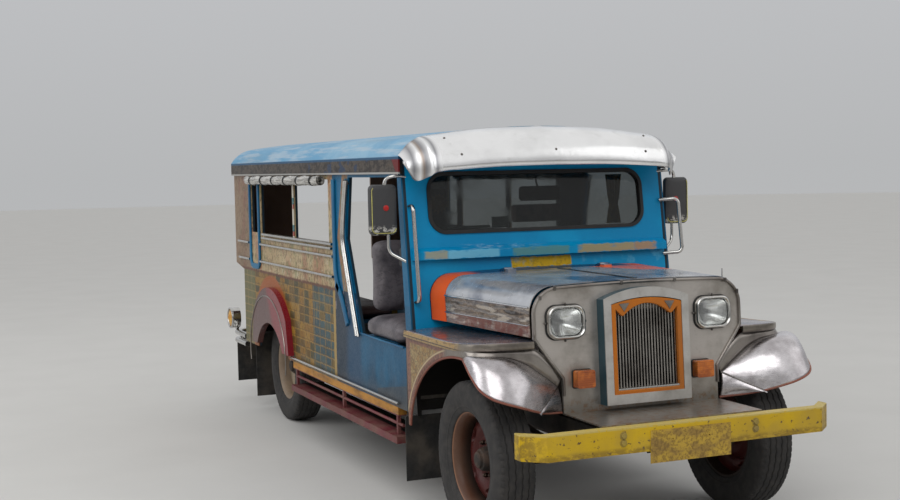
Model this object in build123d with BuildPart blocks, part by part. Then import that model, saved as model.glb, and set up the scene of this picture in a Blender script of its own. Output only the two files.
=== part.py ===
"""Jeepney: long open-sided passenger body on a ladder frame, front engine, solid axles.

Millimetres. X points to the driver's (left) side, Y to the rear, Z up. The origin is on the
ground, midway along the length. Stations along the body are measured from the two axles.
"""
from build123d import *
from math import sqrt
import os

os.makedirs("parts", exist_ok=True)

# Overall layout
wheelbase = 3632.0
front_overhang = 729.0
rear_overhang = 1259.0
overall_length = front_overhang + wheelbase + rear_overhang
front_y = -overall_length / 2
rear_y = overall_length / 2
front_axle_y = front_y + front_overhang
nose_y = front_axle_y + 240.0  # station the nose and cab are measured from
rear_axle_y = rear_y - rear_overhang
sides = (-1, 1)
seat_gap = 0.3  # what lies on or in another moving or soft piece stays this far clear

# Wheels and tyres
tyre_diameter = 800.0
tyre_width = 205.0
tread_width = 165.0
rim_flange_radius = 238.0
rim_seat_radius = 224.0
rim_barrel_radius = 212.0
rim_width = 150.0
rim_sheet = 8.0
disc_setback = 46.0  # wheel disc's outer face, in from the rim's outer flange
hub_radius = 58.0
hub_reach = 34.0  # hub nose, out from the wheel disc
drum_radius = 165.0
front_tyre_outer_x = 845.0
rear_tyre_outer_x = 752.0
front_wheel_x = front_tyre_outer_x - tyre_width / 2
rear_wheel_x = rear_tyre_outer_x - tyre_width / 2
axle_z = tyre_diameter / 2
spindle_radius = 22.0
spindle_reach = 40.0
running_fit = 0.05

# Ladder frame
rail_outer_x = 365.0
rail_width = 50.0
rail_height = 100.0
rail_wall = 5.0
rail_bottom_z = 500.0
rail_top_z = rail_bottom_z + rail_height
rail_inner_x = rail_outer_x - rail_width
rail_front_y = front_y + 130.0
rail_rear_y = rear_axle_y + 960.0
cross_width = 50.0
cross_height = 60.0

# Body
body_half = 832.0
wall = 25.0
floor_thickness = 20.0
floor_top_z = rail_top_z + floor_thickness
side_bottom_z = 514.0
belt_z = 1110.0
window_sill_z = 1395.0
window_head_z = 1800.0
door_sill_z = 868.0
roof_thickness = 22.0
roof_half = body_half + roof_thickness
eave_z = 1925.0
roof_shoulder_inset = 164.0
roof_shoulder_rise = 110.0
roof_crown_rise = 53.0
roof_shoulder_x = roof_half - roof_shoulder_inset
roof_shoulder_z = eave_z + roof_shoulder_rise
roof_crown_z = roof_shoulder_z + roof_crown_rise
roof_front_y = nose_y + 600.0
roof_rear_y = rear_axle_y + 1048.0
lower_body_rear_y = rear_axle_y + 800.0
board_drop = 95.0

# Cab front: a plane that leans back
cab_y_at_mid = nose_y + 567.0
cab_mid_z = 1400.0
cab_lean = 0.139
cab_sheet = 30.0
cab_half = body_half - wall
cab_slope = sqrt(1 + cab_lean**2)
windscreen_post = 121.0
windscreen_half = cab_half - windscreen_post
windscreen_bottom_z = 1490.0
windscreen_top_z = 1836.0
windscreen_corner = 105.0
gasket_width = 20.0
gasket_proud = 10.0
glass_thickness = 6.0
ledge_inset = 7.0
ledge_half = cab_half - ledge_inset
ledge_bottom_z = 1355.0
ledge_height = 64.0
ledge_proud = 40.0
ledge_slope = 22.0  # how much its top edge stands back of its bottom edge

# Front panel and hood
panel_y_at_mid = nose_y - 519.0
panel_mid_z = 900.0
panel_lean = 0.055
panel_sheet = 14.0
panel_slope = sqrt(1 + panel_lean**2)
panel_bottom_z = 650.0
panel_waist_z = 820.0
panel_bottom_half = 445.0
hood_front_half = 604.0
hood_rear_half = 690.0
cowl_rear_half = 712.0
cowl_depth = 160.0
hood_sheet = 4.0
hood_corner = 130.0
hood_top_z = 1276.0
hood_bottom_z = 1030.0
hood_crown = 10.0
moving_gap = 6.0
panel_half = hood_front_half - hood_sheet - moving_gap
panel_top_z = hood_top_z - hood_sheet - moving_gap
panel_side_height = 246.0
panel_wide_z = panel_top_z - panel_side_height
hood_front_gap = 8.0
hood_rear_gap = 8.0
hinge_pin_radius = 5.0
hinge_eye_radius = 9.0
hinge_z = hood_top_z + hood_crown + 9.0
hinge_forward = cowl_depth + hood_rear_gap / 2
hinge_y = cab_y_at_mid + cab_lean * (hinge_z - cab_mid_z) - hinge_forward * cab_slope
hinge_x = 300.0
hinge_length = 50.0
hinge_ear = 6.0
hinge_foot = 60.0

# Grille and lamps
grille_half = 241.0
grille_bottom_z = 676.0
grille_corner_z = 1196.0
grille_crest_z = 1247.0
grille_depth = 74.0
grille_side = 40.0
grille_frame = 49.0
grille_bar_count = 23
grille_bar_width = 7.0
grille_bar_depth = 12.0
headlamp_x = 422.0
headlamp_z = 1095.0
headlamp_width = 206.0
headlamp_height = 166.0
headlamp_ring = 16.0
headlamp_depth = 30.0
turn_lamp_x = 342.0
turn_lamp_z = 813.0
turn_lamp_width = 98.0
turn_lamp_height = 86.0
turn_lamp_depth = 55.0

# Front fenders
fender_half = 900.0
fender_top_z = 986.0
flare_reach = 32.0
fender_neck = 62.0  # upright edge from the plate down to the flare
fender_sheet = 5.0
fender_rear_y = nose_y + 420.0
fender_shoulder_y = nose_y - 300.0

# Bumper
bumper_half = 757.0
bumper_end_half = 850.0
bumper_end_back = 85.0  # the raked ends run this far back
bumper_bottom_z = 522.0
bumper_top_z = 643.0
bumper_sheet = 6.0
bumper_flange = 62.0
plate_half = 222.0
plate_bottom_z = 464.0
plate_top_z = 619.0
plate_sheet = 3.0
plate_hole_radius = 3.5
plate_hole_spacing = 200.0


def beside(x):
    """Plane of constant X: sketch with (y, z), extrude towards +X."""
    return Plane.YZ.offset(x)


def across(y):
    """Plane of constant Y: sketch with (x, z), extrude a negative amount towards the rear."""
    return Plane(origin=(0, y, 0), x_dir=(1, 0, 0), z_dir=(0, -1, 0))


def level(z):
    """Plane of constant Z: sketch with (x, y), extrude upwards."""
    return Plane.XY.offset(z)


def leaning(y_at_mid, mid_z, lean, forward=0.0):
    """Plane across the vehicle that leans back; its normal points forwards."""
    face = Plane(origin=(0, y_at_mid, mid_z), x_dir=(1, 0, 0), z_dir=(0, -1, lean))
    return face.offset(forward)


def cab_plane(forward=0.0):
    return leaning(cab_y_at_mid, cab_mid_z, cab_lean, forward)


def cab_v(z, forward=0.0):
    """Height z as a distance up the slope of the cab front, or of a plane that lies forward of it."""
    return (z - cab_mid_z) * cab_slope - forward * cab_lean


def cab_y(z):
    return cab_y_at_mid + cab_lean * (z - cab_mid_z)


def panel_plane(forward=0.0):
    return leaning(panel_y_at_mid, panel_mid_z, panel_lean, forward)


def panel_v(z):
    return (z - panel_mid_z) * panel_slope


def panel_y(z):
    return panel_y_at_mid + panel_lean * (z - panel_mid_z)


def roof_outline(drop, base_z):
    """Closed face from base_z up to the roof's outer curve, lowered and narrowed by drop."""
    half, shoulder = roof_half - drop, roof_shoulder_x
    bend_x = (half + shoulder) / 2 + 0.14 * (half - shoulder)
    bend_z = (eave_z + roof_shoulder_z) / 2 + 0.09 * (roof_shoulder_z - eave_z) - drop
    with BuildLine() as outline:
        Line((-half, base_z), (-half, eave_z - drop))
        ThreePointArc((-half, eave_z - drop), (-bend_x, bend_z), (-shoulder, roof_shoulder_z - drop))
        ThreePointArc(
            (-shoulder, roof_shoulder_z - drop),
            (0, roof_crown_z - drop),
            (shoulder, roof_shoulder_z - drop),
        )
        ThreePointArc((shoulder, roof_shoulder_z - drop), (bend_x, bend_z), (half, eave_z - drop))
        Line((half, eave_z - drop), (half, base_z))
        Line((half, base_z), (-half, base_z))
    make_face(outline.edges())


def cowl_v(z):
    return cab_v(z, cowl_depth)


def hood_rear_v(z):
    return cab_v(z, cowl_depth + hood_rear_gap)


def hood_arch(outer_half, inset, height):
    """Closed arch outline of the hood: flat sides, round corners, slightly crowned top.

    inset moves it inwards all round, and height turns a z into the sketch plane's own height.
    """
    half, corner = outer_half - inset, hood_corner - inset
    flat = half - corner
    diagonal = corner * (1 - sqrt(0.5))
    top, low = height(hood_top_z - inset), height(hood_bottom_z)
    crest = height(hood_top_z + hood_crown - inset)
    with BuildLine() as outline:
        Line((-half, low), (-half, top - corner))
        ThreePointArc((-half, top - corner), (-half + diagonal, top - diagonal), (-flat, top))
        ThreePointArc((-flat, top), (0, crest), (flat, top))
        ThreePointArc((flat, top), (half - diagonal, top - diagonal), (half, top - corner))
        Line((half, top - corner), (half, low))
        Line((half, low), (-half, low))
    make_face(outline.edges())


# Ladder frame: two box-section rails and the members between them
rail_length = rail_rear_y - rail_front_y
rail_x = rail_outer_x - rail_width / 2
with BuildPart() as frame_rails:
    with BuildSketch(across(rail_front_y)):
        with Locations(*[(s * rail_x, rail_bottom_z + rail_height / 2) for s in sides]):
            Rectangle(rail_width, rail_height)
            Rectangle(rail_width - 2 * rail_wall, rail_height - 2 * rail_wall, mode=Mode.SUBTRACT)
    extrude(amount=-rail_length)
frame_rails.part.label = "frame_rails"
export_step(frame_rails.part, "parts/frame_rails.step")

cross_stations = (
    rail_front_y + 60.0,
    nose_y - 420.0,
    nose_y + 1120.0,
    nose_y + 1650.0,
    rear_axle_y - 1150.0,
    rear_axle_y - 620.0,
    rear_axle_y + 460.0,
    rail_rear_y - 60.0,
)
with BuildPart() as cross_members:
    with Locations(*[(0, y, rail_bottom_z + cross_height / 2) for y in cross_stations]):
        Box(2 * rail_inner_x, cross_width, cross_height)
cross_members.part.label = "cross_members"
export_step(cross_members.part, "parts/cross_members.step")

# Front axle: a beam with a kingpin eye at each end
kingpin_x = front_wheel_x - 90.0
kingpin_radius = 14.0
eye_radius = 30.0
eye_height = 74.0
beam_depth = 56.0
beam_height = 52.0
beam_z = axle_z - 6.0
with BuildPart() as front_axle:
    with Locations((0, front_axle_y, beam_z)):
        Box(2 * kingpin_x, beam_depth, beam_height)
    with Locations(*[(s * kingpin_x, front_axle_y, axle_z) for s in sides]):
        Cylinder(eye_radius, eye_height)
    with Locations(*[(s * kingpin_x, front_axle_y, axle_z) for s in sides]):
        Hole(kingpin_radius + running_fit)
front_axle.part.label = "front_axle"
export_step(front_axle.part, "parts/front_axle.step")

# Rear axle: tubes to the hubs and a round differential housing
axle_tube_radius = 42.0
axle_pad_top_z = axle_z + axle_tube_radius + 6.0
axle_pad_length = 70.0
differential_radius = 150.0
differential_half = 95.0
with BuildPart() as rear_axle:
    with BuildSketch(beside(0)):
        with Locations((rear_axle_y, axle_z)):
            Circle(axle_tube_radius)
    extrude(amount=rear_wheel_x - 60.0, both=True)
    with BuildSketch(beside(0)):
        with Locations((rear_axle_y, axle_z)):
            Circle(differential_radius)
    extrude(amount=differential_half, both=True)
    fillet(rear_axle.edges().filter_by(GeomType.CIRCLE).group_by(SortBy.RADIUS)[-1], 50.0)
    with BuildSketch(beside(0)):
        with Locations((rear_axle_y, axle_z)):
            Circle(spindle_radius)
    extrude(amount=rear_wheel_x + spindle_reach, both=True)
    with BuildSketch(level(axle_z)):
        with Locations(*[(s * (rail_outer_x - rail_width / 2), rear_axle_y) for s in sides]):
            Rectangle(rail_width, axle_pad_length)
    extrude(amount=axle_pad_top_z - axle_z)
rear_axle.part.label = "rear_axle"
export_step(rear_axle.part, "parts/rear_axle.step")

# Leaf springs under the rails: an arc from eye to eye, clamped on the axle
spring_width = rail_width
spring_thickness = 26.0
spring_half = 500.0
spring_rise = rail_bottom_z
spring_x = rail_outer_x - rail_width / 2
spring_seats = (
    # axle station, top of the axle that the pack sits on
    (front_axle_y, beam_z + beam_height / 2),
    (rear_axle_y, axle_pad_top_z),
)
with BuildPart() as leaf_springs:
    for axle_y, pad_z in spring_seats:
        with BuildSketch(beside(spring_x - spring_width / 2)):
            with BuildLine():
                ThreePointArc(
                    (axle_y - spring_half, spring_rise - spring_thickness),
                    (axle_y, pad_z),
                    (axle_y + spring_half, spring_rise - spring_thickness),
                )
                Line(
                    (axle_y + spring_half, spring_rise - spring_thickness),
                    (axle_y + spring_half, spring_rise),
                )
                ThreePointArc(
                    (axle_y + spring_half, spring_rise),
                    (axle_y, pad_z + spring_thickness),
                    (axle_y - spring_half, spring_rise),
                )
                Line(
                    (axle_y - spring_half, spring_rise),
                    (axle_y - spring_half, spring_rise - spring_thickness),
                )
            make_face()
        extrude(amount=spring_width)
    mirror(about=Plane.YZ)
leaf_springs.part.label = "leaf_springs"
export_step(leaf_springs.part, "parts/leaf_springs.step")

# Engine: one plain block between the rails, behind the radiator
engine_half = 240.0
engine_front_y = nose_y - 300.0
engine_rear_y = nose_y + 430.0
engine_bottom_z = 430.0
engine_top_z = 1080.0
engine_step_z = rail_top_z + 20.0
with BuildPart() as engine_block:
    with BuildSketch(level(engine_bottom_z)):
        with Locations((0, (engine_front_y + engine_rear_y) / 2)):
            Rectangle(2 * engine_half, engine_rear_y - engine_front_y)
    extrude(amount=engine_top_z - engine_bottom_z)
    with BuildSketch(level(engine_step_z)):
        with Locations((0, (engine_front_y + engine_rear_y) / 2)):
            Rectangle(2 * rail_outer_x, 120.0)
    extrude(amount=-20.0)
engine_block.part.label = "engine_block"
export_step(engine_block.part, "parts/engine_block.step")

# Driveline: gearbox behind the engine and the propeller shaft to the differential
gearbox_half = 115.0
gearbox_bottom_z = 410.0
gearbox_top_z = rail_top_z - 5.0
gearbox_rear_y = nose_y + 980.0
shaft_radius = 34.0
shaft_z = axle_z + 65.0
shaft_end_y = rear_axle_y - differential_radius + 6.0
with BuildPart() as driveline:
    with BuildSketch(across(engine_rear_y)):
        with Locations((0, (gearbox_bottom_z + gearbox_top_z) / 2)):
            RectangleRounded(2 * gearbox_half, gearbox_top_z - gearbox_bottom_z, 30.0)
    with BuildSketch(across(gearbox_rear_y)):
        with Locations((0, shaft_z)):
            RectangleRounded(1.1 * gearbox_half, 1.1 * gearbox_half, 30.0)
    loft()
    shaft_start = (0, gearbox_rear_y - 2.0, shaft_z)
    shaft_end = (0, shaft_end_y, axle_z + 30.0)
    with BuildSketch(Plane(origin=shaft_start, z_dir=Vector(*shaft_end) - Vector(*shaft_start))):
        Circle(shaft_radius)
    extrude(amount=(Vector(*shaft_end) - Vector(*shaft_start)).length - 8.0)
driveline.part.label = "driveline"
export_step(driveline.part, "parts/driveline.step")

# Fuel tank: hangs on the outside of the left rail
tank_width = 230.0
tank_front_y = nose_y + 1800.0
tank_length = 700.0
tank_bottom_z = 345.0
tank_height = 240.0
with BuildPart() as fuel_tank:
    with BuildSketch(across(tank_front_y)):
        with Locations((rail_outer_x + tank_width / 2, tank_bottom_z + tank_height / 2)):
            RectangleRounded(tank_width, tank_height, 45.0)
    extrude(amount=-tank_length)
fuel_tank.part.label = "fuel_tank"
export_step(fuel_tank.part, "parts/fuel_tank.step")

# Exhaust: pipe inside the right rail, round silencer, tail pipe out to the side
pipe_radius = 24.0
pipe_wall = 3.0
pipe_x = -205.0
pipe_z = 438.0
pipe_start_z = engine_bottom_z + 60.0
silencer_front_y = nose_y + 1350.0
silencer_length = 600.0
silencer_radius = rail_bottom_z - pipe_z - seat_gap
tail_turn_y = rear_axle_y - 680.0
tail_end_x = -690.0
tail_end_y = rear_axle_y - 550.0
tail_length = 80.0
with BuildPart() as exhaust:
    with BuildLine() as pipe_route:
        FilletPolyline(
            (pipe_x, engine_rear_y, pipe_start_z),
            (pipe_x, engine_rear_y + 150.0, pipe_start_z),
            (pipe_x, engine_rear_y + 300.0, pipe_z),
            (pipe_x, tail_turn_y, pipe_z),
            (tail_end_x, tail_end_y, pipe_z),
            radius=60.0,
        )
    with BuildSketch(Plane(origin=pipe_route.line @ 0, z_dir=pipe_route.line % 0)):
        Circle(pipe_radius)
    sweep()
    with BuildSketch(across(silencer_front_y)):
        with Locations((pipe_x, pipe_z)):
            Circle(silencer_radius)
    extrude(amount=-silencer_length)
    with BuildSketch(Plane(origin=pipe_route.line @ 1, z_dir=pipe_route.line % 1)):
        Circle(pipe_radius - pipe_wall)
    extrude(amount=-tail_length, mode=Mode.SUBTRACT)
exhaust.part.label = "exhaust"
export_step(exhaust.part, "parts/exhaust.step")

# Radiator: core behind the grille, standing on a cross member
radiator_half = 255.0
radiator_depth = 60.0
radiator_rear_y = nose_y - 395.0
radiator_top_z = 1200.0
with BuildPart() as radiator:
    with BuildSketch(level(rail_bottom_z + cross_height)):
        with Locations((0, radiator_rear_y - radiator_depth / 2)):
            Rectangle(2 * radiator_half, radiator_depth)
    extrude(amount=radiator_top_z - rail_bottom_z - cross_height)
radiator.part.label = "radiator"
export_step(radiator.part, "parts/radiator.step")

# Front bumper: folded channel with raked ends, two irons to the rails and a blank plate
bumper_y = front_y + plate_sheet
iron_z = (bumper_bottom_z + rail_top_z) / 2
with BuildPart() as front_bumper:
    for strip_z, strip_height, depth in (
        (bumper_bottom_z, bumper_top_z - bumper_bottom_z, bumper_sheet),
        (bumper_bottom_z, bumper_sheet, bumper_flange),
        (bumper_top_z - bumper_sheet, bumper_sheet, bumper_flange),
    ):
        with BuildSketch(level(strip_z)):
            with BuildLine():
                Polyline(
                    (-bumper_end_half, bumper_y + bumper_end_back),
                    (-bumper_half, bumper_y),
                    (bumper_half, bumper_y),
                    (bumper_end_half, bumper_y + bumper_end_back),
                    (bumper_end_half, bumper_y + bumper_end_back + depth),
                    (bumper_half, bumper_y + depth),
                    (-bumper_half, bumper_y + depth),
                    (-bumper_end_half, bumper_y + bumper_end_back + depth),
                    close=True,
                )
            make_face()
        extrude(amount=strip_height)
    with BuildSketch(across(bumper_y + bumper_sheet)):
        with Locations(*[(s * rail_x, iron_z) for s in sides]):
            Rectangle(rail_width, rail_top_z - bumper_bottom_z)
    extrude(amount=-(rail_front_y - bumper_y - bumper_sheet))
    with BuildSketch(across(front_y)):
        with Locations((0, (plate_bottom_z + plate_top_z) / 2)):
            Rectangle(2 * plate_half, plate_top_z - plate_bottom_z)
    extrude(amount=-plate_sheet)
    with BuildSketch(across(front_y)):
        with Locations(*[(s * plate_hole_spacing / 2, (plate_top_z + bumper_bottom_z) / 2) for s in sides]):
            Circle(plate_hole_radius)
    extrude(amount=-(plate_sheet + bumper_sheet), mode=Mode.SUBTRACT)
front_bumper.part.label = "front_bumper"
export_step(front_bumper.part, "parts/front_bumper.step")

# Front panel: leaning sheet with a round-cornered top, cut for the radiator and the headlamps,
# with a splash apron from its foot to the bumper
headlamp_hole_width = headlamp_width - 2 * headlamp_ring
headlamp_hole_height = headlamp_height - 2 * headlamp_ring
apron_front_y = front_y + bumper_flange
grille_open_half = grille_half - grille_side
grille_open_bottom_z = grille_bottom_z + grille_frame
grille_open_top_z = grille_corner_z - 26.0
with BuildPart() as front_panel:
    with BuildSketch(panel_plane()):
        with BuildLine():
            Polyline(
                (-panel_bottom_half, panel_v(panel_bottom_z)),
                (-panel_bottom_half, panel_v(panel_waist_z)),
                (-panel_half, panel_v(panel_wide_z)),
                (-panel_half, panel_v(panel_top_z)),
                (panel_half, panel_v(panel_top_z)),
                (panel_half, panel_v(panel_wide_z)),
                (panel_bottom_half, panel_v(panel_waist_z)),
                (panel_bottom_half, panel_v(panel_bottom_z)),
                close=True,
            )
        make_face()
    extrude(amount=-panel_sheet)
    depth_edges = front_panel.edges().filter_by(Axis((0, 0, 0), (0, -1, panel_lean)))
    fillet(depth_edges.group_by(Axis.Z)[-1], hood_corner)
    with BuildSketch(panel_plane()):
        with Locations((0, panel_v((grille_open_bottom_z + grille_open_top_z) / 2))):
            Rectangle(2 * grille_open_half, grille_open_top_z - grille_open_bottom_z)
        with Locations(*[(s * headlamp_x, panel_v(headlamp_z)) for s in sides]):
            RectangleRounded(headlamp_hole_width, headlamp_hole_height, 40.0)
    extrude(amount=-panel_sheet, mode=Mode.SUBTRACT)
    with BuildSketch(level(panel_bottom_z)):
        with Locations((0, (apron_front_y + panel_y(panel_bottom_z) + panel_sheet) / 2)):
            Rectangle(2 * panel_bottom_half, panel_y(panel_bottom_z) + panel_sheet - apron_front_y)
    extrude(amount=-(panel_bottom_z - bumper_top_z))
front_panel.part.label = "front_panel"
export_step(front_panel.part, "parts/front_panel.step")

# Grille surround: deep box frame with a low arched crest, in front of the panel
with BuildPart() as grille_surround:
    with BuildSketch(panel_plane()):
        with BuildLine():
            Line((-grille_half, panel_v(grille_corner_z)), (-grille_half, panel_v(grille_bottom_z)))
            Line((-grille_half, panel_v(grille_bottom_z)), (grille_half, panel_v(grille_bottom_z)))
            Line((grille_half, panel_v(grille_bottom_z)), (grille_half, panel_v(grille_corner_z)))
            ThreePointArc(
                (grille_half, panel_v(grille_corner_z)),
                (0, panel_v(grille_crest_z)),
                (-grille_half, panel_v(grille_corner_z)),
            )
        make_face()
    extrude(amount=grille_depth)
    with BuildSketch(panel_plane()):
        with BuildLine():
            Polyline(
                (-grille_open_half, panel_v(grille_open_top_z)),
                (-grille_open_half, panel_v(grille_open_bottom_z)),
                (grille_open_half, panel_v(grille_open_bottom_z)),
                (grille_open_half, panel_v(grille_open_top_z)),
            )
            ThreePointArc(
                (grille_open_half, panel_v(grille_open_top_z)),
                (0, panel_v(grille_crest_z - grille_frame)),
                (-grille_open_half, panel_v(grille_open_top_z)),
            )
        make_face()
    extrude(amount=grille_depth, mode=Mode.SUBTRACT)
grille_surround.part.label = "grille_surround"
export_step(grille_surround.part, "parts/grille_surround.step")

# Grille bars: upright bars on two cross strips, inside the surround
bar_pitch = 2 * grille_open_half / (grille_bar_count + 1)
bar_front = grille_depth - 20.0
with BuildPart() as grille_bars:
    with BuildSketch(panel_plane(bar_front)):
        with Locations((0, panel_v((grille_open_bottom_z + grille_open_top_z) / 2))):
            with GridLocations(bar_pitch, 0, grille_bar_count, 1):
                Rectangle(grille_bar_width, panel_slope * (grille_open_top_z - grille_open_bottom_z))
    extrude(amount=-grille_bar_depth)
    with BuildSketch(panel_plane(bar_front - grille_bar_depth)):
        with Locations(*[(0, panel_v(z)) for z in (grille_open_bottom_z + 20.0, grille_open_top_z - 20.0)]):
            Rectangle(2 * grille_open_half, 24.0)
    extrude(amount=-6.0)
grille_bars.part.label = "grille_bars"
export_step(grille_bars.part, "parts/grille_bars.step")

# Headlamps: rounded rectangular rings with a bowl behind, and their lenses
with BuildPart() as headlamp_rings:
    with BuildSketch(panel_plane()):
        with Locations(*[(s * headlamp_x, panel_v(headlamp_z)) for s in sides]):
            RectangleRounded(headlamp_width, headlamp_height, 50.0)
    extrude(amount=headlamp_depth)
    with BuildSketch(panel_plane(headlamp_depth)):
        with Locations(*[(s * headlamp_x, panel_v(headlamp_z)) for s in sides]):
            RectangleRounded(headlamp_hole_width, headlamp_hole_height, 40.0)
    extrude(amount=-(headlamp_depth - 4.0), mode=Mode.SUBTRACT)
headlamp_rings.part.label = "headlamp_rings"
export_step(headlamp_rings.part, "parts/headlamp_rings.step")

lens_thickness = 8.0
with BuildPart() as headlamp_lenses:
    with BuildSketch(panel_plane(headlamp_depth - 12.0)):
        with Locations(*[(s * headlamp_x, panel_v(headlamp_z)) for s in sides]):
            RectangleRounded(headlamp_hole_width, headlamp_hole_height, 40.0)
    extrude(amount=lens_thickness)
headlamp_lenses.part.label = "headlamp_lenses"
export_step(headlamp_lenses.part, "parts/headlamp_lenses.step")

with BuildPart() as turn_lamps:
    with BuildSketch(panel_plane()):
        with Locations(*[(s * turn_lamp_x, panel_v(turn_lamp_z)) for s in sides]):
            RectangleRounded(turn_lamp_width, turn_lamp_height, 10.0)
    extrude(amount=turn_lamp_depth)
turn_lamps.part.label = "turn_lamps"
export_step(turn_lamps.part, "parts/turn_lamps.step")

# Hood: one arched sheet from the front panel to the cowl, with two hinge eyes at the cowl
with BuildPart() as hood:
    for inset, mode in ((0.0, Mode.ADD), (hood_sheet, Mode.SUBTRACT)):
        with BuildSketch(panel_plane(-(panel_sheet + hood_front_gap))):
            hood_arch(hood_front_half, inset, panel_v)
        with BuildSketch(cab_plane(cowl_depth + hood_rear_gap)):
            hood_arch(hood_rear_half, inset, hood_rear_v)
        loft(mode=mode)
    with BuildSketch(level(hood_top_z + hood_crown / 4)):
        with Locations(*[(s * hinge_x, hinge_y - hinge_length / 2) for s in sides]):
            Rectangle(hinge_length, hinge_length)
    extrude(amount=hinge_z - hood_top_z)
    for s in sides:
        with BuildSketch(beside(s * hinge_x)):
            with Locations((hinge_y, hinge_z)):
                Circle(hinge_eye_radius)
        extrude(amount=hinge_length / 2, both=True)
        with BuildSketch(beside(s * hinge_x)):
            with Locations((hinge_y, hinge_z)):
                Circle(hinge_pin_radius + running_fit)
        extrude(amount=hinge_length / 2, both=True, mode=Mode.SUBTRACT)
hood.part.label = "hood"
export_step(hood.part, "parts/hood.step")

# Cowl: fixed arch between the hood and the cab, with the ears and pins of the hood's hinges
with BuildPart() as cowl:
    for inset, mode in ((0.0, Mode.ADD), (hood_sheet, Mode.SUBTRACT)):
        with BuildSketch(cab_plane(cowl_depth)):
            hood_arch(hood_rear_half, inset, cowl_v)
        with BuildSketch(cab_plane()):
            hood_arch(cowl_rear_half, inset, cab_v)
        loft(mode=mode)
    for s in sides:
        with BuildSketch(beside(s * hinge_x)):
            with Locations((hinge_y, hinge_z)):
                Circle(hinge_pin_radius)
        extrude(amount=hinge_length / 2 + 2 * hinge_ear, both=True)
        for ear_x in (
            s * hinge_x - hinge_length / 2 - 2 * hinge_ear,
            s * hinge_x + hinge_length / 2 + hinge_ear,
        ):
            with BuildSketch(beside(ear_x)):
                with BuildLine():
                    Polyline(
                        (hinge_y - hinge_pin_radius, hinge_z - hinge_pin_radius),
                        (hinge_y - hinge_pin_radius, hinge_z + hinge_pin_radius),
                        (hinge_y + hinge_pin_radius, hinge_z + hinge_pin_radius),
                        (hinge_y + hinge_foot, hood_top_z),
                        (hinge_y + hinge_pin_radius, hood_top_z),
                        close=True,
                    )
                make_face()
            extrude(amount=hinge_ear)
cowl.part.label = "cowl"
export_step(cowl.part, "parts/cowl.step")

# Front fenders: top plate with a rolled edge, skirt with the wheel arch, bulged flare, inner apron
flare_sections = (
    # x, neck y, neck z, bulge y, bulge z, lip y, lip z: y from the nose station, z from the plate's top
    (panel_bottom_half + 1.0, -519.0, -265.0, -534.0, -292.0, -538.0, -325.0),
    (510.0, -516.0, -235.0, -580.0, -272.0, -586.0, -315.0),
    (590.0, -508.0, -118.0, -622.0, -200.0, -636.0, -300.0),
    (690.0, -480.0, -62.0, -650.0, -140.0, -690.0, -282.0),
    (790.0, -440.0, -56.0, -652.0, -115.0, -706.0, -250.0),
    (fender_half - 5.0, -345.0, -52.0, -590.0, -90.0, -650.0, -190.0),
    (fender_half + flare_reach, -440.0, -62.0, -520.0, -78.0, -560.0, -124.0),
)
arch_points = (
    # y from the nose station, z from the plate's top, down the arch from front to rear
    (-300.0, -60.0),
    (-130.0, -82.0),
    (40.0, -136.0),
    (200.0, -236.0),
    (306.0, -370.0),
    (350.0, -496.0),
)
plate_outline = (
    # x, y from the nose station: the plate's edge from the panel round to the rear corner
    (600.0, -505.0),
    (700.0, -480.0),
    (800.0, -432.0),
    (fender_half, -300.0),
    (fender_half, 420.0),
)
apron_x = 560.0
apron_bottom_z = 810.0
with BuildPart() as front_fenders:
    for near, far in zip(flare_sections[:-1], flare_sections[1:]):
        for x, neck_y, neck_z, bulge_y, bulge_z, lip_y, lip_z in (near, far):
            a = (nose_y + neck_y, fender_top_z + neck_z)
            m = (nose_y + bulge_y, fender_top_z + bulge_z)
            b = (nose_y + lip_y, fender_top_z + lip_z)
            inner_a = (a[0] + fender_sheet, a[1] - fender_sheet)
            inner_m = (m[0] + fender_sheet, m[1] - fender_sheet)
            inner_b = (b[0] + fender_sheet, b[1])
            with BuildSketch(beside(x)):
                with BuildLine():
                    ThreePointArc(a, m, b)
                    Line(b, inner_b)
                    ThreePointArc(inner_b, inner_m, inner_a)
                    Line(inner_a, a)
                make_face()
        loft(ruled=True)
    with BuildSketch(level(fender_top_z - fender_sheet)):
        with BuildLine():
            Polyline(
                (apron_x, cab_y(fender_top_z) - 1.0),
                (body_half, cab_y(fender_top_z) - 1.0),
                *[(x, nose_y + y) for x, y in reversed(plate_outline)],
                (apron_x, nose_y - 497.0),
                close=True,
            )
        make_face()
    extrude(amount=fender_sheet)
    with BuildSketch(level(fender_top_z - fender_neck)):
        with BuildLine():
            outer_edge = [(x, nose_y + y) for x, y in plate_outline[:4]]
            inner_edge = [(x - fender_sheet / 2, y + fender_sheet) for x, y in reversed(outer_edge)]
            Polyline(*outer_edge, *inner_edge, close=True)
        make_face()
    extrude(amount=fender_neck - fender_sheet)
    with BuildSketch(beside(fender_half - fender_sheet)):
        with BuildLine():
            Polyline(
                *[(nose_y + y, fender_top_z + z) for y, z in arch_points],
                (fender_rear_y + 60.0, fender_top_z - 516.0),
                (fender_rear_y, fender_top_z),
                (fender_shoulder_y, fender_top_z),
                close=True,
            )
        make_face()
    extrude(amount=fender_sheet)
    with BuildSketch(beside(apron_x)):
        with BuildLine():
            Polyline(
                (nose_y - 497.0, apron_bottom_z),
                (cab_y(apron_bottom_z) - 1.0, apron_bottom_z),
                (cab_y(fender_top_z) - 1.0, fender_top_z),
                (nose_y - 497.0, fender_top_z),
                close=True,
            )
        make_face()
    extrude(amount=fender_sheet)
    mirror(about=Plane.YZ)
front_fenders.part.label = "front_fenders"
export_step(front_fenders.part, "parts/front_fenders.step")

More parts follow.
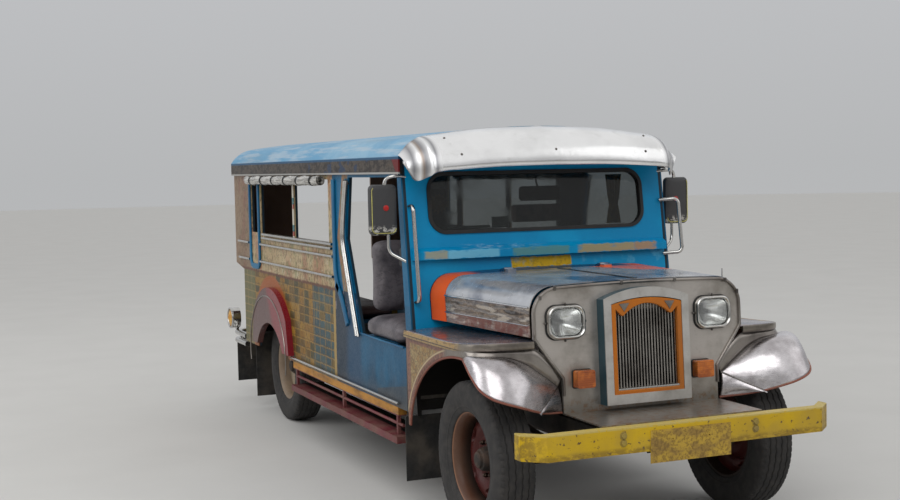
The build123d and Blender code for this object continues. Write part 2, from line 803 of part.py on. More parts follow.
# Cab front: leaning wall with a rounded windscreen opening and a ledge across it
windscreen_mid_v = cab_v((windscreen_bottom_z + windscreen_top_z) / 2)
windscreen_v_height = cab_v(windscreen_top_z) - cab_v(windscreen_bottom_z)
with BuildPart() as cab_front:
    with BuildSketch(cab_plane()):
        with Locations((0, (cab_v(side_bottom_z) + cab_v(roof_crown_z)) / 2)):
            Rectangle(2 * cab_half, cab_v(roof_crown_z) - cab_v(side_bottom_z))
    extrude(amount=-cab_sheet)
    with BuildSketch(across(front_y)):
        roof_outline(roof_thickness + seat_gap, floor_top_z)
    extrude(amount=-overall_length, mode=Mode.INTERSECT)
    with BuildSketch(cab_plane()):
        with Locations((0, windscreen_mid_v)):
            RectangleRounded(2 * windscreen_half, windscreen_v_height, windscreen_corner)
    extrude(amount=-cab_sheet, mode=Mode.SUBTRACT)
    with BuildSketch(beside(-ledge_half)):
        with BuildLine():
            Polyline(
                (cab_y(ledge_bottom_z) - ledge_proud, ledge_bottom_z),
                (cab_y(ledge_bottom_z) - ledge_proud, ledge_bottom_z + ledge_height - ledge_slope),
                (cab_y(ledge_bottom_z + ledge_height), ledge_bottom_z + ledge_height),
                (cab_y(ledge_bottom_z), ledge_bottom_z),
                close=True,
            )
        make_face()
    extrude(amount=2 * ledge_half)
cab_front.part.label = "cab_front"
export_step(cab_front.part, "parts/cab_front.step")

# Grab rails: bent tubes that stand out from the cab front at its outer edges
rail_tube_radius = 11.0
rail_bend = 32.0
rail_stand_off = 60.0
grab_x = cab_half - 12.0
grab_rows = (
    # side, bottom height, top height, how far the bar stands outside its feet
    (-1, 1125.0, 1650.0, 0.0),
    (1, 1325.0, 1641.0, 100.0),
)
with BuildPart() as grab_rails:
    for s, low_z, high_z, bar_out in grab_rows:
        foot_out = seat_gap + rail_tube_radius * bar_out / sqrt(bar_out**2 + rail_stand_off**2)
        with BuildLine() as rail_route:
            FilletPolyline(
                *[
                    cab_plane().from_local_coords(Vector(s * x, cab_v(z), out))
                    for x, z, out in (
                        (grab_x, low_z, foot_out),
                        (grab_x + bar_out, low_z, rail_stand_off),
                        (grab_x + bar_out, high_z, rail_stand_off),
                        (grab_x, high_z, foot_out),
                    )
                ],
                radius=rail_bend,
            )
        with BuildSketch(Plane(origin=rail_route.line @ 0, z_dir=rail_route.line % 0)):
            Circle(rail_tube_radius)
        sweep()
grab_rails.part.label = "grab_rails"
export_step(grab_rails.part, "parts/grab_rails.step")

# Windscreen: rubber gasket in the opening and one pane in the gasket
with BuildPart() as windscreen_gasket:
    with BuildSketch(cab_plane(gasket_proud)):
        with Locations((0, windscreen_mid_v)):
            RectangleRounded(2 * windscreen_half, windscreen_v_height, windscreen_corner)
            RectangleRounded(
                2 * (windscreen_half - gasket_width),
                windscreen_v_height - 2 * gasket_width,
                windscreen_corner - gasket_width,
                mode=Mode.SUBTRACT,
            )
    extrude(amount=-(cab_sheet + gasket_proud))
windscreen_gasket.part.label = "windscreen_gasket"
export_step(windscreen_gasket.part, "parts/windscreen_gasket.step")

with BuildPart() as windscreen_glass:
    with BuildSketch(cab_plane(-(cab_sheet - glass_thickness) / 2)):
        with Locations((0, windscreen_mid_v)):
            RectangleRounded(
                2 * (windscreen_half - gasket_width),
                windscreen_v_height - 2 * gasket_width,
                windscreen_corner - gasket_width,
            )
    extrude(amount=-glass_thickness)
windscreen_glass.part.label = "windscreen_glass"
export_step(windscreen_glass.part, "parts/windscreen_glass.step")

# Roof: crowned panel over cab and body, whose edges hang down as boards outside the walls
with BuildPart() as roof:
    with BuildSketch(across(roof_front_y)):
        roof_outline(0.0, eave_z - board_drop)
    extrude(amount=-(roof_rear_y - roof_front_y))
    with BuildSketch(across(roof_front_y)):
        roof_outline(roof_thickness, eave_z - board_drop)
    extrude(amount=-(roof_rear_y - roof_front_y), mode=Mode.SUBTRACT)
roof.part.label = "roof"
export_step(roof.part, "parts/roof.step")

# Visor: polished peak from the roof's front edge forwards and down over the windscreen
visor_sheet = 4.0
visor_sections = (
    # x, roof z, middle y, middle z, lip y, lip z: y from the nose station
    (-roof_half - 2.0, eave_z + 5.0, 545.0, eave_z - 8.0, 500.0, eave_z - 30.0),
    (-roof_half + 54.0, eave_z + 65.0, 475.0, eave_z - 15.0, 462.0, eave_z - 125.0),
    (-roof_shoulder_x, roof_shoulder_z, 420.0, roof_shoulder_z - 57.0, 350.0, roof_shoulder_z - 190.0),
    (0.0, roof_crown_z, 420.0, roof_crown_z - 70.0, 350.0, roof_crown_z - 216.0),
)
visor_rear_y = roof_front_y - seat_gap
with BuildPart() as visor:
    for near, far in zip(visor_sections[:-1], visor_sections[1:]):
        for x, roof_z, mid_y, mid_z, lip_y, lip_z in (near, far):
            a = (visor_rear_y, roof_z)
            m = (nose_y + mid_y, mid_z)
            b = (nose_y + lip_y, lip_z)
            with BuildSketch(beside(x)):
                with BuildLine():
                    ThreePointArc(a, m, b)
                    Line(b, (b[0] + visor_sheet, b[1]))
                    ThreePointArc(
                        (b[0] + visor_sheet, b[1]),
                        (m[0] + visor_sheet, m[1] - visor_sheet),
                        (a[0], a[1] - visor_sheet),
                    )
                    Line((a[0], a[1] - visor_sheet), a)
                make_face()
        loft(ruled=True)
    mirror(about=Plane.YZ)
visor.part.label = "visor"
export_step(visor.part, "parts/visor.step")

# Body sides: doorway, windows and wheel arch cut from one wall; the upper part runs further back
door_front_y = cab_y(door_sill_z) + cab_sheet + 60.0
door_rear_low_y = nose_y + 1345.0
door_rear_mid_y = nose_y + 1600.0
door_rear_mid_z = 1430.0
door_rear_top_y = nose_y + 1530.0
door_head_z = 1812.0
window_front_y = nose_y + 1950.0
window_post = 36.0
window_mid_y = nose_y + 2745.0
window_rear_y = rear_axle_y + 238.0
quarter_front_y = rear_axle_y + 300.0
quarter_rear_y = rear_axle_y + 520.0
arch_radius = 430.0
side_top_z = eave_z - roof_thickness - 4.0
wall_front_low_y = cab_y(side_bottom_z)
wall_front_top_y = cab_y(side_top_z)
side_windows = (
    # front y, rear y
    (window_front_y, window_mid_y - window_post / 2),
    (window_mid_y + window_post / 2, window_rear_y),
    (quarter_front_y, quarter_rear_y),
)
for s, side_name in ((-1, "right"), (1, "left")):
    with BuildPart() as side_body:
        with BuildSketch(beside(s * body_half)):
            with BuildLine():
                Polyline(
                    (wall_front_low_y, side_bottom_z),
                    (wall_front_top_y, side_top_z),
                    (roof_rear_y, side_top_z),
                    (roof_rear_y, belt_z + 20.0),
                    (lower_body_rear_y, belt_z - 20.0),
                    (lower_body_rear_y, side_bottom_z),
                    close=True,
                )
            make_face()
            with BuildLine():
                Polyline(
                    (door_front_y, door_sill_z),
                    (cab_y(door_head_z) + cab_sheet + 30.0, door_head_z),
                    (door_rear_top_y, door_head_z),
                    (door_rear_mid_y, door_rear_mid_z),
                    (door_rear_low_y, door_sill_z),
                    close=True,
                )
            make_face(mode=Mode.SUBTRACT)
            for open_front_y, open_rear_y in side_windows:
                with Locations(((open_front_y + open_rear_y) / 2, (window_sill_z + window_head_z) / 2)):
                    Rectangle(open_rear_y - open_front_y, window_head_z - window_sill_z, mode=Mode.SUBTRACT)
            with Locations((rear_axle_y, axle_z)):
                Circle(arch_radius, mode=Mode.SUBTRACT)
        extrude(amount=-s * wall)
    side_body.part.label = f"side_body_{side_name}"
    export_step(side_body.part, f"parts/side_body_{side_name}.step")

# Rear corners: two panels that flank the open rear entrance
entrance_half = 330.0
corner_sheet = 25.0
corner_inner_half = body_half - wall
with BuildPart() as rear_corners:
    for s in sides:
        with BuildSketch(across(roof_rear_y)):
            with Locations((s * (entrance_half + corner_inner_half) / 2, (belt_z + 20.0 + side_top_z) / 2)):
                Rectangle(corner_inner_half - entrance_half, side_top_z - belt_z - 20.0)
        extrude(amount=corner_sheet)
        with BuildSketch(across(lower_body_rear_y)):
            with Locations((s * (entrance_half + corner_inner_half) / 2, (floor_top_z + belt_z) / 2)):
                Rectangle(corner_inner_half - entrance_half, belt_z - floor_top_z)
        extrude(amount=corner_sheet)
        with BuildSketch(level(belt_z)):
            with Locations((
                s * (entrance_half + corner_inner_half) / 2,
                (lower_body_rear_y - corner_sheet + roof_rear_y) / 2,
            )):
                Rectangle(corner_inner_half - entrance_half, roof_rear_y - lower_body_rear_y + corner_sheet)
        extrude(amount=20.0)
rear_corners.part.label = "rear_corners"
export_step(rear_corners.part, "parts/rear_corners.step")

# Rear fenders: raised arches round the rear wheels, on the body sides
rear_fender_half = 875.0
rear_fender_top_z = 1003.0
rear_fender_bottom_z = 555.0
rear_fender_front_y = rear_axle_y - 560.0
rear_fender_back_y = rear_axle_y + 440.0
rear_cut_radius = 345.0
rear_cut_y = rear_axle_y - 50.0
rear_cut_top_z = 740.0
with BuildPart() as rear_fenders:
    with BuildSketch(beside(body_half)):
        with BuildLine():
            Line((rear_fender_front_y, rear_fender_bottom_z), (rear_fender_front_y + 60.0, 800.0))
            ThreePointArc(
                (rear_fender_front_y + 60.0, 800.0),
                ((rear_fender_front_y + rear_fender_back_y) / 2, rear_fender_top_z),
                (rear_fender_back_y - 60.0, 800.0),
            )
            Line((rear_fender_back_y - 60.0, 800.0), (rear_fender_back_y, rear_fender_bottom_z))
            Line((rear_fender_back_y, rear_fender_bottom_z), (rear_fender_front_y, rear_fender_bottom_z))
        make_face()
        with BuildLine():
            Line(
                (rear_cut_y - rear_cut_radius, rear_fender_bottom_z),
                (rear_cut_y + rear_cut_radius, rear_fender_bottom_z),
            )
            ThreePointArc(
                (rear_cut_y + rear_cut_radius, rear_fender_bottom_z),
                (rear_cut_y, rear_cut_top_z),
                (rear_cut_y - rear_cut_radius, rear_fender_bottom_z),
            )
        make_face(mode=Mode.SUBTRACT)
    extrude(amount=rear_fender_half - body_half)
    mirror(about=Plane.YZ)
rear_fenders.part.label = "rear_fenders"
export_step(rear_fenders.part, "parts/rear_fenders.step")

# Side steps: golden sill under the door, thin rail, tread board and the brackets that hold them
step_half = 866.0
step_inner_x = 640.0
step_top_z = 358.0
step_thickness = 40.0
step_front_y = nose_y + 687.0
step_rear_y = rear_axle_y - 592.0
sill_height = 50.0
sill_inner_x = 780.0
thin_rail_radius = 9.0
thin_rail_z = 418.0
bracket_width = 24.0
bracket_stations = (step_front_y + 80.0, (step_front_y + step_rear_y) / 2, step_rear_y - 20.0)
with BuildPart() as side_steps:
    with BuildSketch(level(step_top_z - step_thickness)):
        with Locations(((step_inner_x + step_half) / 2, (step_front_y + step_rear_y) / 2)):
            Rectangle(step_half - step_inner_x, step_rear_y - step_front_y)
    extrude(amount=step_thickness)
    with BuildSketch(level(side_bottom_z - sill_height)):
        with Locations(((sill_inner_x + body_half) / 2, (step_front_y + 60.0 + step_rear_y + 60.0) / 2)):
            Rectangle(body_half - sill_inner_x, step_rear_y - step_front_y)
    extrude(amount=sill_height)
    with BuildSketch(across(step_front_y)):
        with Locations((body_half - thin_rail_radius, thin_rail_z)):
            Circle(thin_rail_radius)
    extrude(amount=-(step_rear_y - step_front_y))
    for bracket_y in bracket_stations:
        with BuildSketch(beside(rail_outer_x)):
            with Locations((bracket_y, (rail_bottom_z + side_bottom_z - sill_height) / 2 + 30.0)):
                Rectangle(bracket_width, 60.0)
        extrude(amount=sill_inner_x + 20.0 - rail_outer_x)
        with BuildSketch(beside(body_half - 2 * thin_rail_radius)):
            with Locations((bracket_y, (step_top_z + side_bottom_z - 20.0) / 2)):
                Rectangle(bracket_width, side_bottom_z - 20.0 - step_top_z)
        extrude(amount=2 * thin_rail_radius)
    mirror(about=Plane.YZ)
side_steps.part.label = "side_steps"
export_step(side_steps.part, "parts/side_steps.step")

# Floor: one plate on the rails, notched over the rear wheels, with the rear entrance step
floor_half = body_half - wall
floor_front_y = cab_y(floor_top_z)
well_inner_x = 500.0
well_half = 470.0
with BuildPart() as floor:
    with BuildSketch(level(floor_top_z - floor_thickness)):
        with Locations((0, (floor_front_y + lower_body_rear_y) / 2)):
            Rectangle(2 * floor_half, lower_body_rear_y - floor_front_y)
        with Locations(*[(s * (well_inner_x + floor_half) / 2, rear_axle_y) for s in sides]):
            Rectangle(floor_half - well_inner_x, 2 * well_half, mode=Mode.SUBTRACT)
    extrude(amount=floor_thickness)
floor.part.label = "floor"
export_step(floor.part, "parts/floor.step")

# Dashboard with the steering column under it
dash_bottom_z = 1290.0
dash_top_z = 1440.0
dash_depth = 190.0
column_x = 400.0
column_radius = 24.0
column_top = (column_x, nose_y + 985.0, 1225.0)
column_foot = (column_x, nose_y + 640.0, 700.0)
column_axis = Vector(*column_top) - Vector(*column_foot)
with BuildPart() as dashboard:
    with BuildSketch(beside(-(body_half - wall))):
        with BuildLine():
            Polyline(
                (cab_y(dash_bottom_z) + cab_sheet * cab_slope, dash_bottom_z),
                (cab_y(dash_bottom_z) + dash_depth, dash_bottom_z + 30.0),
                (cab_y(dash_bottom_z) + dash_depth, dash_top_z - 30.0),
                (cab_y(dash_top_z) + cab_sheet * cab_slope, dash_top_z),
                close=True,
            )
        make_face()
    extrude(amount=2 * (body_half - wall))
dashboard.part.label = "dashboard"
export_step(dashboard.part, "parts/dashboard.step")

stub_radius = 10.0
stub_length = 24.0
with BuildPart() as steering_column:
    with BuildSketch(Plane(origin=column_foot, z_dir=column_axis)):
        Circle(column_radius)
    extrude(amount=column_axis.length)
    with BuildSketch(Plane(origin=column_top, z_dir=column_axis)):
        Circle(stub_radius)
    extrude(amount=stub_length)
    with BuildSketch(level(floor_top_z)):
        with Locations((column_x, column_foot[1])):
            Rectangle(110.0, 110.0)
    extrude(amount=110.0)
steering_column.part.label = "steering_column"
export_step(steering_column.part, "parts/steering_column.step")

# Steering wheel: rim, three spokes and a hub that turns on the column's stub
wheel_rim_radius = 205.0
wheel_rim_thickness = 13.0
hub_height = 40.0
spoke_height = 16.0
wheel_plane = Plane(
    origin=Vector(*column_top) + column_axis.normalized() * seat_gap, x_dir=(1, 0, 0), z_dir=column_axis
)
with BuildPart() as steering_wheel:
    with BuildSketch(wheel_plane):
        Circle(40.0)
        Circle(stub_radius + running_fit, mode=Mode.SUBTRACT)
    extrude(amount=stub_length + seat_gap)
    with BuildSketch(wheel_plane.offset(stub_length + seat_gap)):
        Circle(40.0)
    extrude(amount=hub_height - stub_length)
    with BuildSketch(wheel_plane.offset(stub_length + seat_gap)):
        for turn in (90.0, 210.0, 330.0):
            with Locations(Location((0, 0, 0), (0, 0, turn)) * Location((wheel_rim_radius / 2, 0, 0))):
                Rectangle(wheel_rim_radius, 26.0)
    extrude(amount=spoke_height)
    with BuildSketch(Plane(origin=wheel_plane.origin, x_dir=wheel_plane.x_dir, z_dir=-wheel_plane.y_dir)):
        with Locations((wheel_rim_radius, stub_length + spoke_height / 2)):
            Circle(wheel_rim_thickness)
    revolve(axis=Axis(wheel_plane.origin, wheel_plane.z_dir))
steering_wheel.part.label = "steering_wheel"
export_step(steering_wheel.part, "parts/steering_wheel.step")

# Front seats: box bases, cushions and backs; the passenger's cushion fills the doorway
seat_base_top_z = 870.0
cushion_top_z = 990.0
seat_back_top_z = 1450.0
seat_back_thickness = 110.0
seat_inner_x = 60.0
seat_rows = (
    # side, outer x of the cushion, cushion front, seat rear, base front
    (-1, body_half + 30.0, nose_y + 660.0, nose_y + 1285.0, nose_y + 800.0),
    (1, cab_half - seat_gap, nose_y + 960.0, nose_y + 1440.0, nose_y + 1020.0),
)
with BuildPart() as front_seat_base:
    for s, outer_x, seat_front_y, seat_rear_y, base_front_y in seat_rows:
        with BuildSketch(level(floor_top_z)):
            with Locations((s * (cab_half + seat_inner_x) / 2, (base_front_y + seat_rear_y) / 2)):
                Rectangle(cab_half - seat_inner_x, seat_rear_y - base_front_y)
        extrude(amount=seat_base_top_z - floor_top_z)
front_seat_base.part.label = "front_seat_base"
export_step(front_seat_base.part, "parts/front_seat_base.step")

with BuildPart() as front_seats:
    for s, outer_x, seat_front_y, seat_rear_y, base_front_y in seat_rows:
        with BuildSketch(level(seat_base_top_z + seat_gap)):
            with Locations((s * (outer_x + seat_inner_x) / 2, (seat_front_y + seat_rear_y) / 2)):
                RectangleRounded(outer_x - seat_inner_x, seat_rear_y - seat_front_y, 60.0)
        extrude(amount=cushion_top_z - seat_base_top_z)
        back_low_z = cushion_top_z + 2 * seat_gap
        with BuildSketch(across(seat_rear_y - seat_back_thickness)):
            with Locations((s * (cab_half + seat_inner_x) / 2, (back_low_z + seat_back_top_z) / 2)):
                RectangleRounded(cab_half - seat_inner_x - 2 * seat_gap, seat_back_top_z - back_low_z, 50.0)
        extrude(amount=-seat_back_thickness)
front_seats.part.label = "front_seats"
export_step(front_seats.part, "parts/front_seats.step")

# Passenger benches along both sides: bases over the wheel wells, cushions and backs
bench_front_y = nose_y + 1720.0
bench_rear_y = lower_body_rear_y - corner_sheet - 30.0
bench_inner_x = 440.0
bench_board = 20.0
bench_top_z = 905.0
pad_thickness = 85.0
back_bottom_z = 1080.0
back_top_z = 1375.0
back_thickness = 60.0
with BuildPart() as bench_bases:
    with BuildSketch(across(bench_front_y)):
        with BuildLine():
            Polyline(
                (bench_inner_x, floor_top_z),
                (bench_inner_x + bench_board, floor_top_z),
                (bench_inner_x + bench_board, bench_top_z - bench_board),
                (floor_half, bench_top_z - bench_board),
                (floor_half, bench_top_z),
                (bench_inner_x, bench_top_z),
                close=True,
            )
        make_face()
    extrude(amount=-(bench_rear_y - bench_front_y))
    mirror(about=Plane.YZ)
bench_bases.part.label = "bench_bases"
export_step(bench_bases.part, "parts/bench_bases.step")

with BuildPart() as bench_pads:
    with BuildSketch(across(bench_front_y)):
        with Locations((
            (bench_inner_x + floor_half) / 2,
            bench_top_z + seat_gap + pad_thickness / 2,
        )):
            RectangleRounded(floor_half - bench_inner_x - 2 * seat_gap, pad_thickness, 25.0)
        with Locations((floor_half - seat_gap - back_thickness / 2, (back_bottom_z + back_top_z) / 2)):
            RectangleRounded(back_thickness, back_top_z - back_bottom_z, 25.0)
    extrude(amount=-(bench_rear_y - bench_front_y))
    mirror(about=Plane.YZ)
bench_pads.part.label = "bench_pads"
export_step(bench_pads.part, "parts/bench_pads.step")

# Rolled window curtains under the edge boards
curtain_radius = 36.0
curtain_front_y = window_front_y + 30.0
curtain_rear_y = rear_axle_y + 470.0
curtain_z = eave_z - board_drop - curtain_radius - seat_gap
with BuildPart() as rolled_curtains:
    with BuildSketch(across(curtain_front_y)):
        with Locations((body_half + curtain_radius + seat_gap, curtain_z)):
            Circle(curtain_radius)
    extrude(amount=-(curtain_rear_y - curtain_front_y))
    mirror(about=Plane.YZ)
rolled_curtains.part.label = "rolled_curtains"
export_step(rolled_curtains.part, "parts/rolled_curtains.step")

# Side mirrors: rectangular heads on bent tube arms from the cab's corners
mirror_reach = 106.0
mirror_x = body_half + mirror_reach
mirror_z = 1635.0
mirror_y = cab_y(mirror_z) + 14.0
mirror_width = 160.0
mirror_height = 278.0
mirror_depth = 38.0
arm_radius = 12.0
with BuildPart() as side_mirrors:
    with BuildSketch(across(mirror_y)):
        with Locations((mirror_x, mirror_z)):
            RectangleRounded(mirror_width, mirror_height, 22.0)
    extrude(amount=-mirror_depth)
    for arm_z in (mirror_z + 60.0, mirror_z - 60.0):
        with BuildSketch(beside(body_half)):
            with Locations((cab_y(arm_z) + cab_sheet / 2, arm_z)):
                Circle(arm_radius)
        extrude(amount=mirror_x - mirror_width / 2 + 10.0 - body_half)
    with BuildSketch(level(mirror_z - 300.0)):
        with Locations((body_half + 2 * arm_radius, cab_y(mirror_z) + cab_sheet / 2)):
            Circle(arm_radius)
    extrude(amount=380.0)
    mirror(about=Plane.YZ)
side_mirrors.part.label = "side_mirrors"
export_step(side_mirrors.part, "parts/side_mirrors.step")

# Rear bumper: two bent tubes on brackets from the rails, with the round lamps at its corners
bumper_tube_radius = 22.0
rear_bumper_half = 812.0
rear_tube_z = (480.0, 545.0)
rear_corner_radius = 80.0
with BuildPart() as rear_bumper:
    for tube_z in rear_tube_z:
        with BuildLine() as tube_route:
            FilletPolyline(
                (-rear_bumper_half, lower_body_rear_y + 40.0, tube_z),
                (-rear_bumper_half, rear_y - bumper_tube_radius, tube_z),
                (rear_bumper_half, rear_y - bumper_tube_radius, tube_z),
                (rear_bumper_half, lower_body_rear_y + 40.0, tube_z),
                radius=rear_corner_radius,
            )
        with BuildSketch(Plane(origin=tube_route.line @ 0, z_dir=tube_route.line % 0)):
            Circle(bumper_tube_radius)
        sweep()
    for s in sides:
        with BuildSketch(across(rail_rear_y)):
            with Locations((s * spring_x, rail_bottom_z + rail_height / 2 - 20.0)):
                Rectangle(rail_width, rail_height - 30.0)
        extrude(amount=-(rear_y - rail_rear_y - bumper_tube_radius))
rear_bumper.part.label = "rear_bumper"
export_step(rear_bumper.part, "parts/rear_bumper.step")

# Mud flaps: rubber sheets behind each wheel and under the rear bumper
flap_thickness = 8.0
flap_rows = (
    # station of the front face, inner x, outer x, bottom z, top z
    (fender_rear_y + 44.0, 620.0, fender_half - fender_sheet, 157.0, side_bottom_z - seat_gap),
    (rear_axle_y + 620.0, 540.0, 800.0, 90.0, floor_top_z - floor_thickness),
    (rear_y - bumper_tube_radius - 4.0, 600.0, 800.0, 130.0, rear_tube_z[0] - bumper_tube_radius),
)
with BuildPart() as mud_flaps:
    for flap_y, inner_x, outer_x, low_z, high_z in flap_rows:
        with BuildSketch(across(flap_y)):
            with Locations(*[(s * (inner_x + outer_x) / 2, (low_z + high_z) / 2) for s in sides]):
                Rectangle(outer_x - inner_x, high_z - low_z)
        extrude(amount=-flap_thickness)
mud_flaps.part.label = "mud_flaps"
export_step(mud_flaps.part, "parts/mud_flaps.step")

lamp_radius = 84.0
lamp_depth = 60.0
lamp_z = 665.0
lamp_y = rear_y - bumper_tube_radius - 80.0
with BuildPart() as rear_lamps:
    for s in sides:
        with BuildSketch(beside(s * (rear_bumper_half - 10.0))):
            with Locations((lamp_y, lamp_z)):
                Circle(lamp_radius)
        extrude(amount=s * lamp_depth)
        with BuildSketch(level(rear_tube_z[1] + bumper_tube_radius)):
            with Locations((s * (rear_bumper_half + 6.0), lamp_y)):
                Rectangle(20.0, 40.0)
        extrude(amount=lamp_z - rear_tube_z[1] - bumper_tube_radius)
rear_lamps.part.label = "rear_lamps"
export_step(rear_lamps.part, "parts/rear_lamps.step")

# Fender lamp: small chrome lamp on a stalk with a thin rod, on the left fender only
fender_lamp_x = 700.0
fender_lamp_y = nose_y - 200.0
stalk_radius = 9.0
stalk_height = 70.0
rod_radius = 4.0
rod_height = 230.0
with BuildPart() as fender_lamp:
    with BuildSketch(level(fender_top_z)):
        with Locations((fender_lamp_x, fender_lamp_y)):
            Circle(28.0)
    extrude(amount=8.0)
    with BuildSketch(level(fender_top_z + 8.0)):
        with Locations((fender_lamp_x, fender_lamp_y)):
            Circle(stalk_radius)
    extrude(amount=stalk_height)
    with BuildSketch(across(fender_lamp_y - 25.0)):
        with Locations((fender_lamp_x, fender_top_z + 8.0 + stalk_height + 30.0)):
            Circle(36.0)
    extrude(amount=-60.0)
    with BuildSketch(level(fender_top_z + stalk_height + 70.0)):
        with Locations((fender_lamp_x, fender_lamp_y)):
            Circle(rod_radius)
    extrude(amount=rod_height - 70.0)
fender_lamp.part.label = "fender_lamp"
export_step(fender_lamp.part, "parts/fender_lamp.step")

# Knuckles: forked on the axle eyes, with kingpin, spindle and steering arm; they steer
ear_gap = 0.5
ear_height = 26.0
knuckle_plate_x = kingpin_x + eye_radius + 8.0
knuckle_plate = 22.0
knuckle_half = 40.0
arm_reach = 150.0
arm_x = kingpin_x - 30.0
arm_thickness = 14.0
ear_z = eye_height / 2 + ear_gap
knuckle_half_height = ear_z + ear_height
for s, side_name in ((-1, "right"), (1, "left")):
    with BuildPart() as knuckle:
        for ear_bottom in (axle_z + ear_z, axle_z - ear_z - ear_height):
            with BuildSketch(level(ear_bottom)):
                with Locations((s * kingpin_x, front_axle_y)):
                    Circle(eye_radius)
                with Locations((s * (kingpin_x + knuckle_plate_x) / 2, front_axle_y)):
                    Rectangle(knuckle_plate_x - kingpin_x + 10.0, 2 * eye_radius)
            extrude(amount=ear_height)
        with BuildSketch(beside(s * knuckle_plate_x)):
            with Locations((front_axle_y, axle_z)):
                Rectangle(2 * knuckle_half, 2 * knuckle_half_height)
        extrude(amount=s * knuckle_plate)
        with BuildSketch(level(axle_z - knuckle_half_height)):
            with Locations((s * kingpin_x, front_axle_y)):
                Circle(kingpin_radius)
        extrude(amount=2 * knuckle_half_height)
        with BuildSketch(beside(s * (knuckle_plate_x + knuckle_plate))):
            with Locations((front_axle_y, axle_z)):
                Circle(spindle_radius)
        extrude(amount=s * (front_wheel_x + spindle_reach - knuckle_plate_x - knuckle_plate))
        with BuildSketch(level(axle_z - knuckle_half_height)):
            with Locations((s * arm_x, front_axle_y + arm_reach / 2)):
                Rectangle(30.0, arm_reach + 30.0)
        extrude(amount=arm_thickness)
    knuckle.part.label = f"knuckle_{side_name}"
    export_step(knuckle.part, f"parts/knuckle_{side_name}.step")

# Tie rod: joins the steering arms from below
tie_rod_radius = 14.0
tie_rod_z = axle_z - knuckle_half_height - tie_rod_radius - seat_gap
with BuildPart() as tie_rod:
    with BuildSketch(beside(-(arm_x + 20.0))):
        with Locations((front_axle_y + arm_reach, tie_rod_z)):
            Circle(tie_rod_radius)
    extrude(amount=2 * (arm_x + 20.0))
tie_rod.part.label = "tie_rod"
export_step(tie_rod.part, "parts/tie_rod.step")

# Wheels: rims with dished disc, hub and drum; tyres on their seats
rim_half = rim_width / 2
tyre_half = tyre_width / 2
tread_half = tread_width / 2
disc_x = rim_half - disc_setback
drum_back = knuckle_plate_x + knuckle_plate + moving_gap - front_wheel_x
bore_radius = spindle_radius + running_fit
rim_profile = (
    # axial distance out from the wheel's middle, radius
    (-rim_half, rim_flange_radius),
    (-rim_half, rim_barrel_radius),
    (-rim_half + 30.0, rim_barrel_radius - 14.0),
    (disc_x - rim_sheet, rim_barrel_radius - 14.0),
    (disc_x - rim_sheet, drum_radius - 20.0),
    (drum_back, drum_radius - 25.0),
    (drum_back, bore_radius),
    (spindle_reach + 2.0, bore_radius),
    (spindle_reach + 2.0, 0.0),
    (disc_x + hub_reach, 0.0),
    (disc_x + hub_reach, hub_radius - 6.0),
    (disc_x + hub_reach - 6.0, hub_radius),
    (disc_x, hub_radius + 8.0),
    (disc_x - 14.0, 110.0),
    (disc_x, 165.0),
    (disc_x, rim_barrel_radius - 14.0),
    (rim_half - 24.0, rim_barrel_radius - 6.0),
    (rim_half - 6.0, rim_seat_radius - 6.0),
    (rim_half, rim_flange_radius - 8.0),
    (rim_half, rim_flange_radius),
    (rim_half - rim_sheet, rim_flange_radius),
    (rim_half - rim_sheet, rim_seat_radius),
    (-rim_half + rim_sheet, rim_seat_radius),
    (-rim_half + rim_sheet, rim_flange_radius),
)
tyre_radius = tyre_diameter / 2
tyre_profile = (
    # axial distance, radius, from the inner bead round the tread to the outer bead
    (-(rim_half - rim_sheet - seat_gap), rim_seat_radius + seat_gap),
    (-(rim_half - rim_sheet - seat_gap), rim_flange_radius + 1.0),
    (-(tyre_half - 8.0), rim_flange_radius + 26.0),
    (-tyre_half, 305.0),
    (-(tyre_half - 6.0), 350.0),
    (-tread_half, tyre_radius - 8.0),
    (-(tread_half - 22.0), tyre_radius),
    (tread_half - 22.0, tyre_radius),
    (tread_half, tyre_radius - 8.0),
    (tyre_half - 6.0, 350.0),
    (tyre_half, 305.0),
    (tyre_half - 8.0, rim_flange_radius + 26.0),
    (rim_half - rim_sheet - seat_gap, rim_flange_radius + 1.0),
    (rim_half - rim_sheet - seat_gap, rim_seat_radius + seat_gap),
)
wheel_rows = (
    # name, side, middle of the wheel across the vehicle, station
    ("front_right", -1, front_wheel_x, front_axle_y),
    ("front_left", 1, front_wheel_x, front_axle_y),
    ("rear_right", -1, rear_wheel_x, rear_axle_y),
    ("rear_left", 1, rear_wheel_x, rear_axle_y),
)
for wheel_name, s, wheel_x, wheel_y in wheel_rows:
    wheel_axis = Axis((0, wheel_y, axle_z), (1, 0, 0))
    with BuildPart() as rim:
        with BuildSketch(level(axle_z)):
            with BuildLine():
                Polyline(*[(s * (wheel_x + out), wheel_y + r) for out, r in rim_profile], close=True)
            make_face()
        revolve(axis=wheel_axis)
    rim.part.label = f"rim_{wheel_name}"
    export_step(rim.part, f"parts/rim_{wheel_name}.step")

    with BuildPart() as tyre:
        with BuildSketch(level(axle_z)):
            with BuildLine():
                Polyline(*[(s * (wheel_x + out), wheel_y + r) for out, r in tyre_profile], close=True)
            make_face()
        revolve(axis=wheel_axis)
    tyre.part.label = f"tyre_{wheel_name}"
    export_step(tyre.part, f"parts/tyre_{wheel_name}.step")
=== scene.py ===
"""A weathered long-body jeepney: finishes, formed sheet metal, wheels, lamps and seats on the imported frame.

Positions are metres: x to the driver's side, y to the rear, z up. Every shape is a surface worked out on a
grid of two parameters, or an outline carried along a path.
"""
from math import cos, pi, radians, sin

import bmesh
import bpy
import numpy as np
from mathutils import Matrix, Vector


